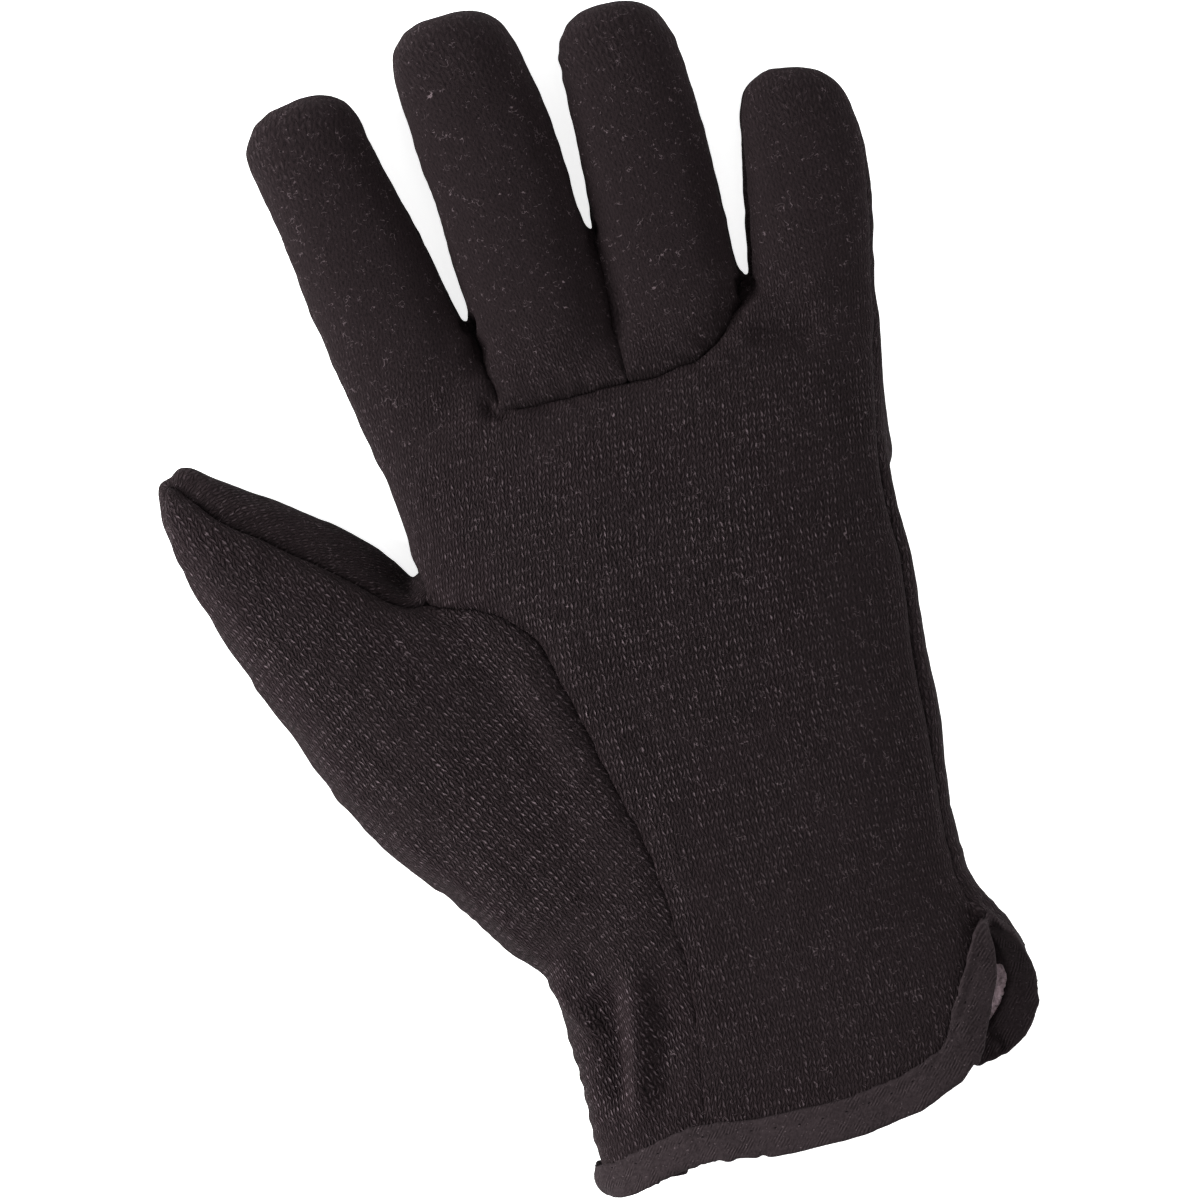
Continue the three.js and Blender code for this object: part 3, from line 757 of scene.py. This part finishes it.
class Nodes:
    """A material's nodes, made one after another."""

    def __init__(self, name):
        self.material = bpy.data.materials.new(name)
        self.material.use_nodes = True
        self.tree = self.material.node_tree
        self.shader = self.tree.nodes["Principled BSDF"]

    def add(self, kind, inputs=None, **settings):
        node = self.tree.nodes.new("ShaderNode" + kind)
        for key, value in settings.items():
            setattr(node, key, value)
        for key, value in (inputs or {}).items():
            self.plug(node.inputs[key], value)
        return node

    def plug(self, socket, value):
        if isinstance(value, bpy.types.NodeSocket):
            self.tree.links.new(value, socket)
        else:
            socket.default_value = value

    def math(self, operation, *values, clamp=False):
        node = self.add("Math", operation=operation, use_clamp=clamp)
        for socket, value in zip(node.inputs, values):
            self.plug(socket, value)
        return node.outputs[0]

    def hump(self, value, factor, power, clamp=False):
        """1 where the value is 0, falling to both sides."""
        away = self.math("ABSOLUTE", self.math("MULTIPLY", value, factor))
        return self.math("SUBTRACT", 1.0, self.math("POWER", away, power), clamp=clamp)

    def mix(self, factor, a, b):
        """One colour going over to another; sockets 6, 7 and 2 are those for colours."""
        return self.add("Mix", {0: factor, 6: a, 7: b}, data_type="RGBA").outputs[2]

    def noise(self, vector, scale, detail=2.0, roughness=0.5):
        settings = {"Vector": vector, "Scale": scale, "Detail": detail, "Roughness": roughness}
        return self.add("TexNoise", settings).outputs[0]

    def span(self, value, low, high, to_low=0.0, to_high=1.0):
        return self.add("MapRange", {0: value, 1: low, 2: high, 3: to_low, 4: to_high}).outputs[0]

    def finished(self, shader, height, distance, strength=1.0):
        """The material, with the shader's inputs set and the height as bump."""
        bump = self.add("Bump", {"Strength": strength, "Distance": distance, "Height": height})
        for key, value in {**shader, "Normal": bump.outputs[0]}.items():
            self.plug(self.shader.inputs[key], value)
        return self.material


def rgb(r, g, b):
    """A screen colour from 0 to 255 as a linear one."""
    linear = [c / 255 / 12.92 if c <= 10 else ((c / 255 + 0.055) / 1.055) ** 2.4 for c in (r, g, b)]
    return (*linear, 1.0)


# Painted shade between the knit's legs
JERSEY_GAP_SHADE = rgb(12, 9, 10)
JERSEY_MIDDLE = rgb(25, 20, 21)
JERSEY_FUZZ = rgb(35, 28, 30)
# Painted highlight on the knit's legs
JERSEY_PAINTED_HIGHLIGHT = rgb(106, 94, 98)
JERSEY_HAIR = rgb(114, 101, 105)
# Painted shade in the holes between stitches
JERSEY_HOLE_SHADE = rgb(5, 4, 4)
# Painted shade in the seams' valleys
SEAM_PAINTED_SHADE = rgb(4, 3, 3)
JERSEY_SHEEN = rgb(205, 170, 178)
# Painted shade in the fleece's hollows
FLEECE_HOLLOW_SHADE = rgb(96, 82, 86)
FLEECE_TIP = rgb(184, 162, 169)
TAPE_DARK = rgb(20, 16, 17)
TAPE_PALE = rgb(50, 43, 45)
TAPE_PATCH = rgb(44, 37, 39)
TAPE_LINT = rgb(110, 98, 101)
THREAD_DARK = rgb(14, 11, 12)
# The knit: width of a column of stitches, and height of a row (mm); and the period of the tape's twill
WALE = 1.68
COURSE = 1.66
TWILL = 0.82 * MM


def jersey():
    """Coarse knitted jersey: two slanted legs to a stitch, half hidden by the nap and by loose fibres."""
    n = Nodes("jersey")
    place = n.add("TexCoord").outputs["Object"]
    flat = n.add("UVMap").outputs[0]
    plain = n.add("Attribute", attribute_name="plain").outputs["Fac"]
    painted_groove_shade = n.add("Attribute", attribute_name="seam").outputs["Fac"]
    wear_and_painted_knit_shading = n.add("Attribute", attribute_name="wear_and_painted_knit_shading").outputs["Fac"]
    for scale, size in ((170.0, 1.1), (620.0, 0.75), (1500.0, 0.34)):
        wobble = n.add("TexNoise", {"Vector": place, "Scale": scale, "Detail": 2.0})
        off = n.add("VectorMath", {0: wobble.outputs[1], 1: (0.5, 0.5, 0.5)}, operation="SUBTRACT").outputs[0]
        off = n.add("VectorMath", {0: off, "Scale": size}, operation="SCALE").outputs[0]
        flat = n.add("VectorMath", {0: flat, 1: off}, operation="ADD").outputs[0]
    parts = n.add("SeparateXYZ", {0: flat})
    u, v = parts.outputs[0], parts.outputs[1]
    column = n.math("DIVIDE", u, WALE / 2)
    across = n.math("SUBTRACT", n.math("FRACT", column), 0.5)
    column = n.math("FLOOR", column)
    side = n.math("SUBTRACT", 1.0, n.math("MULTIPLY", 2.0, n.math("FLOORED_MODULO", column, 2.0)))
    slant = n.math("MULTIPLY", n.math("MULTIPLY", across, side), 0.95)
    row = n.math("ADD", n.math("DIVIDE", v, COURSE), slant)
    along = n.math("SUBTRACT", n.math("FRACT", row), 0.5)
    row = n.math("FLOOR", row)
    each = n.add("CombineXYZ", {0: column, 1: row})
    chance = n.add("TexWhiteNoise", {"Vector": each.outputs[0]}, noise_dimensions="2D").outputs[0]
    rounded = n.math("MULTIPLY", n.hump(across, 2.0, 2.0), n.hump(along, 2.0, 2.6), clamp=True)
    leg = n.math("POWER", rounded, 0.8)
    # Painted highlight along the middle of each leg, kept brighter on one leg of each stitch, the one the lamp
    # from the left falls on
    glint = n.math("MULTIPLY", n.hump(across, 4.4, 2.0, clamp=True), n.hump(along, 3.0, 2.0, clamp=True))
    painted_leg_highlight = n.math("MULTIPLY", glint, n.span(side, -1.0, 1.0, 0.4, 1.0))
    patches = n.noise(place, 80.0, 4.0, 0.6)
    wear_and_painted_knit_shading = n.math("MULTIPLY", wear_and_painted_knit_shading, n.math("SUBTRACT", 1.0, plain))
    # Where the knit shows bare through the nap: this scales its real bump and also its painted highlights and
    # painted shade
    bare_and_painted_knit_shading = n.math("MULTIPLY", n.span(patches, 0.38, 0.6, 0.45, 1.0), wear_and_painted_knit_shading)
    fuzz = n.noise(place, 1500.0, 4.0, 0.7)
    pile = n.noise(place, 420.0, 3.0, 0.6)
    height = n.math("MULTIPLY", leg, n.math("MULTIPLY", bare_and_painted_knit_shading, n.span(pile, 0.3, 0.7, 0.5, 1.1)))
    height = n.math("ADD", height, n.math("MULTIPLY", fuzz, 0.5))
    lit = n.math("MULTIPLY", n.math("POWER", chance, 1.25), n.span(pile, 0.3, 0.6, 0.15, 1.0))
    # Painted highlight on the legs, by chance from stitch to stitch
    painted_highlight = n.math("MULTIPLY", painted_leg_highlight, n.math("MULTIPLY", bare_and_painted_knit_shading, lit), clamp=True)
    # Painted shade in a hole beside each leg
    between = n.span(n.math("MULTIPLY", side, across), 0.2, 0.45)
    hole_shade = n.math("MULTIPLY", between, n.span(n.math("ABSOLUTE", along), 0.1, 0.4))
    # Painted shade: darker where the legs are low, between them
    colour = n.mix(n.span(leg, 0.0, 0.7), JERSEY_GAP_SHADE, JERSEY_MIDDLE)
    colour = n.mix(n.span(fuzz, 0.35, 0.75, 0.0, 0.55), colour, JERSEY_FUZZ)
    colour = n.mix(n.math("MULTIPLY", hole_shade, bare_and_painted_knit_shading, clamp=True), colour, JERSEY_HOLE_SHADE)
    colour = n.mix(painted_highlight, colour, JERSEY_PAINTED_HIGHLIGHT)
    # Loose hairs, long and short: scale of their curves, their width, where they begin to show, how light
    hairs = ((480.0, 0.012, 0.61, 1.0), (900.0, 0.02, 0.58, 0.75))
    for seed, (scale, width, low, tone) in enumerate(hairs):
        shift = n.add("VectorMath", {0: place, 1: (0.37 * seed + 0.1, 0.21, 0.05)}, operation="ADD").outputs[0]
        curve = n.math("ABSOLUTE", n.math("SUBTRACT", n.noise(shift, scale, 1.0, 0.5), 0.5))
        hair = n.span(curve, width, 0.0)
        where = n.span(n.noise(shift, 420.0 + 160 * seed, 2.0, 0.6), low, low + 0.06)
        colour = n.mix(n.math("MULTIPLY", n.math("MULTIPLY", hair, where), 0.65 * tone), colour, JERSEY_HAIR)
    # Painted shade: the colour darkens in the seams' valleys
    colour = n.mix(n.math("MULTIPLY", painted_groove_shade, 0.7, clamp=True), colour, SEAM_PAINTED_SHADE)
    shader = {
        "Base Color": colour, "Roughness": 0.95, "Specular IOR Level": 0.04,
        "Sheen Weight": 0.03, "Sheen Roughness": 0.5, "Sheen Tint": JERSEY_SHEEN,
    }
    return n.finished(shader, height, 1.1 * MM)


def fleece():
    """Brushed fleece: short tufts, with painted shade in the hollows between them."""
    n = Nodes("fleece")
    place = n.add("TexCoord").outputs["Object"]
    bent = n.add("TexNoise", {"Vector": place, "Scale": 260.0, "Detail": 2.0})
    off = n.add("VectorMath", {0: bent.outputs[1], "Scale": 0.0035}, operation="SCALE").outputs[0]
    curled = n.add("VectorMath", {0: place, 1: off}, operation="ADD").outputs[0]
    tufts = n.noise(curled, 700.0, 3.0, 0.6)
    fine = n.noise(curled, 2600.0, 2.0, 0.6)
    height = n.math("ADD", tufts, n.math("MULTIPLY", fine, 0.4))
    # Painted shade: darker where the tufts are low
    colour = n.mix(n.span(tufts, 0.34, 0.66), FLEECE_HOLLOW_SHADE, FLEECE_TIP)
    shader = {
        "Base Color": colour, "Roughness": 1.0, "Specular IOR Level": 0.1,
        "Sheen Weight": 0.4, "Sheen Roughness": 0.5,
    }
    return n.finished(shader, height, 0.9 * MM)


def tape():
    """Woven tape with a fine twill, worn paler on its raised parts."""
    n = Nodes("binding")
    place = n.add("TexCoord").outputs["Object"]
    parts = n.add("SeparateXYZ", {0: place})
    slope = n.math("SUBTRACT", parts.outputs[0], n.math("MULTIPLY", parts.outputs[1], 0.85))
    slope = n.math("ADD", slope, n.math("MULTIPLY", parts.outputs[2], 0.4))
    fuzz = n.noise(place, 1500.0, 4.0, 0.65)
    slope = n.math("ADD", slope, n.math("MULTIPLY", n.noise(place, 240.0, 2.0), 1.2 * MM))
    wave = n.math("SINE", n.math("MULTIPLY", slope, 2 * math.pi / TWILL))
    worn = n.span(n.noise(place, 420.0, 3.0, 0.6), 0.46, 0.7)
    twill = n.math("MULTIPLY", wave, n.math("MULTIPLY", worn, 0.45))
    height = n.math("ADD", n.math("MULTIPLY", twill, 0.5), n.math("MULTIPLY", fuzz, 1.2))
    colour = n.mix(n.span(n.math("ADD", twill, fuzz), 0.25, 0.95), TAPE_DARK, TAPE_PALE)
    colour = n.mix(n.span(n.noise(place, 60.0, 3.0), 0.42, 0.68, 0.0, 0.3), colour, TAPE_PATCH)
    colour = n.mix(n.span(n.noise(place, 1900.0, 1.0), 0.7, 0.78, 0.0, 0.4), colour, TAPE_LINT)
    colour = n.mix(n.add("Attribute", attribute_name="thread").outputs["Fac"], colour, THREAD_DARK)
    shader = {"Base Color": colour, "Roughness": 0.95, "Specular IOR Level": 0.04}
    return n.finished(shader, height, 0.22 * MM, strength=0.7)


jersey_cloth, fleece_cloth, tape_cloth = jersey(), fleece(), tape()


# The jersey panels

# Outline beside the vent and beside the cuff's folds, clockwise (pixels)
VENT_SIDE = [
    (949, 800), (955, 820), (959, 840), (964, 860), (974, 880),
    (991, 900), (1010, 920), (1017, 932), (1023, 940), (1028, 956),
]
CUFF_SIDE = [
    (597, 1150), (593, 1130), (587, 1100), (580, 1070), (573, 1050), (567, 1030), (561, 1010), (554, 990),
    (548, 980), (539, 970), (521, 960), (506, 950), (496, 940), (475, 920), (451, 900), (435, 886),
]

# How far from its line the fit moves the cloth (mm)
CLOTH_FIT = 5
# The back panel has fewer faces up to this height, where the glove lies on it, out of sight
UNDERSIDE_HEIGHT = 5 * MM
UNDERSIDE_RATIO = 0.82

for name, o in panels.items():
    unwrap(o, name)
    modify(o, "SUBSURF", levels=1, render_levels=1)
    sculpt(o)
    mark_stretched(o)
together = np.concatenate([points_of(o.data) for o in panels.values()])
together = fitted(fitted(together, VENT_SIDE, CLOTH_FIT), CUFF_SIDE, CLOTH_FIT)
for o in panels.values():
    set_points(o.data, together[:len(o.data.vertices)])
    together = together[len(o.data.vertices):]
back = panels["back_panel"]
underside = back.vertex_groups.new(name="underside")
underside.add(np.nonzero(points_of(back.data)[:, 2] < UNDERSIDE_HEIGHT)[0].tolist(), 1.0, "REPLACE")
modify(back, "DECIMATE", ratio=UNDERSIDE_RATIO, vertex_group="underside")

for name, o in panels.items():
    group = o.vertex_groups.new(name="thickness")
    for i, far in enumerate(to_free_edge(points_of(o.data))):
        group.add([i], EDGE_SHARE + (1 - EDGE_SHARE) * float(ramp((far - 4) / 6)), "REPLACE")
    modify(
        o, "SOLIDIFY", thickness=CLOTH_THICKNESS, offset=-1.0, use_even_offset=False,
        vertex_group="thickness", thickness_vertex_group=0.0,
    )
    dress(o, jersey_cloth)
    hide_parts(name)
    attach(o, "root")


# Lining and binding


def remeshed(name, node, voxel, rounds):
    mesh = bpy.data.objects[node].data.copy()
    mesh.materials.clear()
    o = link(name, mesh)
    bm = bmesh.new()
    bm.from_mesh(mesh)
    bmesh.ops.remove_doubles(bm, verts=bm.verts, dist=0.001 * MM)
    bm.to_mesh(mesh)
    bm.free()
    modify(o, "REMESH", mode="VOXEL", voxel_size=voxel)
    set_points(o.data, smoothed(points_of(o.data), edges_of(o.data), rounds))
    return o


# The front tape beside the vent: height up the hand, then its right edge and width as remeshed and as seen
FRONT_TAPE = np.array([
    (6.0, 43.1, 9.0, 43.9, 9.0),
    (10.0, 46.1, 10.0, 46.8, 10.0),
    (14.0, 49.0, 11.0, 49.2, 9.6),
    (20.0, 52.0, 10.0, 51.8, 9.4),
    (26.0, 54.0, 9.4, 54.4, 8.6),
    (31.0, 54.0, 8.0, 55.1, 6.4),
    (34.5, 54.0, 8.0, 54.7, 3.4),
    (36.6, 54.0, 8.0, 54.7, 1.2),
    (38.0, 54.0, 8.0, 54.9, 0.2),
])
# Outer edge of the back tape and lower edge of the hem (pixels)
BACK_EDGE = [
    (1012, 924), (1017, 932), (1023, 941), (1028, 955), (1033, 965), (1036.5, 975), (1038.5, 986),
    (1039, 996), (1038, 1005), (1034, 1020), (1030, 1028), (1025, 1036), (1019, 1043),
    (1010, 1051), (1002, 1055.5), (990, 1061), (978, 1065.5), (972, 1069),
]
HEM_EDGE = [
    (770, 1155), (738, 1158.5), (714, 1161.5), (702, 1164.5), (690, 1168.5), (678, 1173.5),
    (666, 1179), (654, 1185), (642, 1191.5), (630, 1196.5), (618, 1198.5), (607, 1196.5),
    (599, 1191), (594.5, 1182), (593.5, 1172), (595.5, 1163), (598.5, 1155),
]
# How far from these lines the fit moves the tape (mm)
BACK_FIT = 4.5
HEM_FIT = 4
# Inner border of the back tape, beside which the fleece shows (pixels)
FLEECE_BORDER = [
    (985, 1032), (993, 1021), (998, 1012), (1003, 1001.8), (1008, 986), (1008.9, 975.2), (1005.4, 966.8),
]
# The sunk line of stitches along the tape (pixels), and the stitches' spacing and half sizes (mm)
STITCH_LINE = [
    (600, 1166), (640, 1158), (665, 1144), (690, 1133), (735, 1127), (800, 1118), (850, 1104), (900, 1083),
    (930, 1060), (948, 1036), (958, 1010), (966, 985), (972, 960), (979, 938),
]
STITCH_SPACING = 5.3
STITCH_SIZE = (0.4, 0.2, 0.14)
# Folds of the tape, one pull at the hem, and sharp dents of the rim (spot in the hand and reach): where it
# begins to rise, in the hem, and at the hem's left corner
TAPE_FOLDS = [(STITCH_LINE, -0.3, 0.7), ([(987, 1034), (996, 1040), (1004, 1051)], -0.9, 1.0)]
TAPE_PULL = ((690, 1150), (0.2, 1.0), 12)
TAPE_DENTS = [((62.4, 20.8), 2.6), (in_hand(687, 1171), 4.0), (in_hand(600, 1180), 3.0)]


def tape_shaped(co):
    """The tape's points, narrowed to the apex of the vent, with its top end slanted down along the back."""
    x, y, z = co[:, 0] / MM - HAND[0], co[:, 1] / MM - HAND[1], co[:, 2] / MM
    right, width, new_right, new_width = [np.interp(y, FRONT_TAPE[:, 0], FRONT_TAPE[:, k]) for k in range(1, 5)]
    across = np.clip((right - x) / width, 0, 1)
    beyond = np.maximum(right - width - x, 0) + np.maximum(x - right, 0)
    front = ramp((z - 22) / 4) * ramp((y - 5) / 4) * np.exp(-((beyond / 5) ** 2))
    shift = front * (new_right - right + across * (width - new_width))
    rises = front * 1.0 * ramp((y - 30) / 8)
    squeeze = (tape_top(x) - 20) / (APEX[1] - 20)
    y = np.where(y > 20, 20 + (y - 20) * squeeze, y) + rises
    co = np.stack([x + shift + HAND[0], y + HAND[1], z], 1) * MM
    return tape_fitted(co)


def tape_fitted(co):
    return fitted(fitted(co, BACK_EDGE, BACK_FIT), HEM_EDGE, HEM_FIT)


# Middle of the sleeve, as X and Z of the frame, towards which the lining is drawn (mm)
SLEEVE_MIDDLE = (28, 20)
# The cuff's folds, under which the lining keeps more clearance, and their reach (mm)
CUFF_FOLDS = in_hand(612, 1040)
CUFF_FOLDS_REACH = 20
# The lining in the vent: height up the hand, and how far it is moved outwards and up there (mm)
LINING_IN_VENT = np.array([(10, 3.5, 1.5), (14, 3.8, 1.5), (18, 2.4, 1.0), (21, 1.2, 0.5), (26, 0.7, 0.3)])


def fleece_lining():
    """The lining, a little inside the jersey, and spread where it shows in the vent."""
    o = remeshed("lining_fleece", "cuff_lining", LINING_VOXEL, 6)
    co, no = points_of(o.data), normals_of(o.data)
    inward = co - np.array([SLEEVE_MIDDLE[0], 0, SLEEVE_MIDDLE[1]]) * MM
    inward[:, 1] = 0
    inward /= -np.linalg.norm(inward, axis=1)[:, None]
    across, up = co[:, 0] / MM - HAND[0], co[:, 1] / MM - HAND[1]
    in_vent = ramp((across - 44) / 6) * (co[:, 2] < VENT_SPLIT) * ramp((31 - up) / 4)
    spread, raised = [np.interp(up, LINING_IN_VENT[:, 0], LINING_IN_VENT[:, k]) for k in (1, 2)]
    vent_move = np.stack([spread, 0 * up, raised], 1) * in_vent[:, None]
    folds = around(co, CUFF_FOLDS, CUFF_FOLDS_REACH) * (co[:, 2] > 20 * MM)
    co = co + inward * ((0.5 + 1.6 * folds) * MM * (1 - in_vent))[:, None] + vent_move * MM
    set_points(o.data, co + no * (0.2 * MM * unevenness(co, 2.2, 4))[:, None])
    return o


lining = fleece_lining()
dress(lining, fleece_cloth)
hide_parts("cuff_lining")
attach(lining, "root")


def tucked(co):
    """The tape's points, with its inner turn sunk under the fleece beside the border."""
    lining_top = tree_of(lining.data)
    border_line = np.array(sorted(in_hand(*p)[::-1] for p in FLEECE_BORDER))
    low, high = border_line[0, 0], border_line[-1, 0] + 1
    for i, (x, y, z) in enumerate(co):
        hx, hy = x / MM - HAND[0], y / MM - HAND[1]
        if z < VENT_SPLIT and hx > 40 and low < hy < high:
            inside = float(ramp((np.interp(hy, border_line[:, 0], border_line[:, 1]) - hx) / 0.6))
            top = lining_top.ray_cast(Vector((x, y, VENT_SPLIT)), Vector((0, 0, -1)))[0]
            if inside and top is not None and z > top.z - 0.6 * MM:
                co[i, 2] -= inside * (z - top.z + 0.7 * MM)
    return co


def binding_tape():
    """The tape round the hem and up the vent, with its folds."""
    o = remeshed("binding_tape", "cuff_binding", TAPE_VOXEL, 24)
    edges = edges_of(o.data)
    co = tape_shaped(pulled_by(points_of(o.data), [TAPE_PULL]))
    co = smoothed(tucked(co), edges, 2)
    for spot, reach in TAPE_DENTS:
        dent = around(co, spot, reach)
        for _ in range(20):
            co += 0.6 * dent[:, None] * (averaged(co, edges) - co)
    co = tape_fitted(tape_fitted(co))
    set_points(o.data, co)
    no = normals_of(o.data)
    wave = 0.2 * unevenness(co, 7, 6) + 0.1 * unevenness(co, 2.6, 8)
    seen = ramp(no[:, 2] / 0.5)
    for line, height, half in TAPE_FOLDS:
        d, along = off_polyline(co[:, :2] / MM - HAND, [in_hand(*p) for p in line])
        wave += height * np.exp(-((d / half) ** 2)) * seen * ramp(np.minimum(along, 1 - along) * 20)
    set_points(o.data, co + no * (wave * MM)[:, None])
    return o


def add_stitches(o, line, step):
    """Short stitches of dark thread sunk into the tape, step millimetres apart along a line of pixels."""
    surface = tree_of(o.data)
    bm = bmesh.new()
    bm.from_mesh(o.data)
    thread = bm.verts.layers.float.new("thread")
    corners = [Vector(in_hand(*p)) for p in line]
    gone = step / 2
    for a, b in zip(corners, corners[1:]):
        along = b - a
        while gone < along.length:
            x, y = a + along * (gone / along.length) + Vector(HAND)
            hit, normal = surface.ray_cast(Vector((x, y, 60)) * MM, Vector((0, 0, -1)))[:2]
            gone += step
            if hit is None:
                continue
            turn = Vector((along.x, along.y, 0)).normalized()
            turn = (turn - normal * turn.dot(normal)).normalized()
            place = Matrix((turn, normal.cross(turn), normal)).transposed().to_4x4()
            place.translation = hit - normal * 0.05 * MM
            place = place @ Matrix.Diagonal((*(half * MM for half in STITCH_SIZE), 1))
            for v in bmesh.ops.create_icosphere(bm, subdivisions=1, radius=1.0, matrix=place)["verts"]:
                v[thread] = 1.0
        gone -= along.length
    bm.to_mesh(o.data)
    bm.free()


binding = binding_tape()
add_stitches(binding, STITCH_LINE, STITCH_SPACING)
dress(binding, tape_cloth)
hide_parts("cuff_binding")
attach(binding, "root")

bpy.data.objects.remove(form)


# Floor, light and camera


def floor():
    bpy.ops.mesh.primitive_plane_add(size=6.0, location=(0, 0, -0.2 * MM))
    o = bpy.context.object
    o.name = "floor"
    n = Nodes("floor")
    n.plug(n.shader.inputs["Base Color"], (0.9, 0.9, 0.9, 1))
    n.plug(n.shader.inputs["Roughness"], 0.9)
    n.plug(n.shader.inputs["Emission Color"], (1, 1, 1, 1))
    n.plug(n.shader.inputs["Emission Strength"], 0.75)
    o.data.materials.append(n.material)


def area_light(name, place, size, power):
    """A round lamp that shines on the glove."""
    light = bpy.data.lights.new(name, "AREA")
    light.shape = "DISK"
    light.size = size
    light.energy = power
    o = bpy.data.objects.new(name, light)
    bpy.context.scene.collection.objects.link(o)
    o.location = place
    o.rotation_euler = (-Vector(place)).to_track_quat("-Z", "Y").to_euler()


floor()
area_light("left", (-1.0, 0.1, 0.65), 0.8, 40)
area_light("right", (1.0, -0.1, 0.6), 0.9, 9)
area_light("above", (0.1, 0.2, 1.5), 1.2, 6)
world = bpy.data.worlds.new("studio")
bpy.context.scene.world = world
world.use_nodes = True
world.node_tree.nodes["Background"].inputs[0].default_value = (1, 1, 1, 1)
world.node_tree.nodes["Background"].inputs[1].default_value = 0.36

camera = bpy.data.cameras.new("camera")
camera.lens = LENS
camera.sensor_width = SENSOR
eye = bpy.data.objects.new("camera", camera)
bpy.context.scene.collection.objects.link(eye)
aim = in_hand(*LOOK_AT_PIXEL)
eye.location = ((aim[0] + HAND[0]) * MM, (aim[1] + HAND[1]) * MM, EYE_HEIGHT * MM)
eye.rotation_euler = (0, 0, -TURN)
bpy.context.scene.camera = eye
bpy.context.scene.view_settings.view_transform = "Standard"
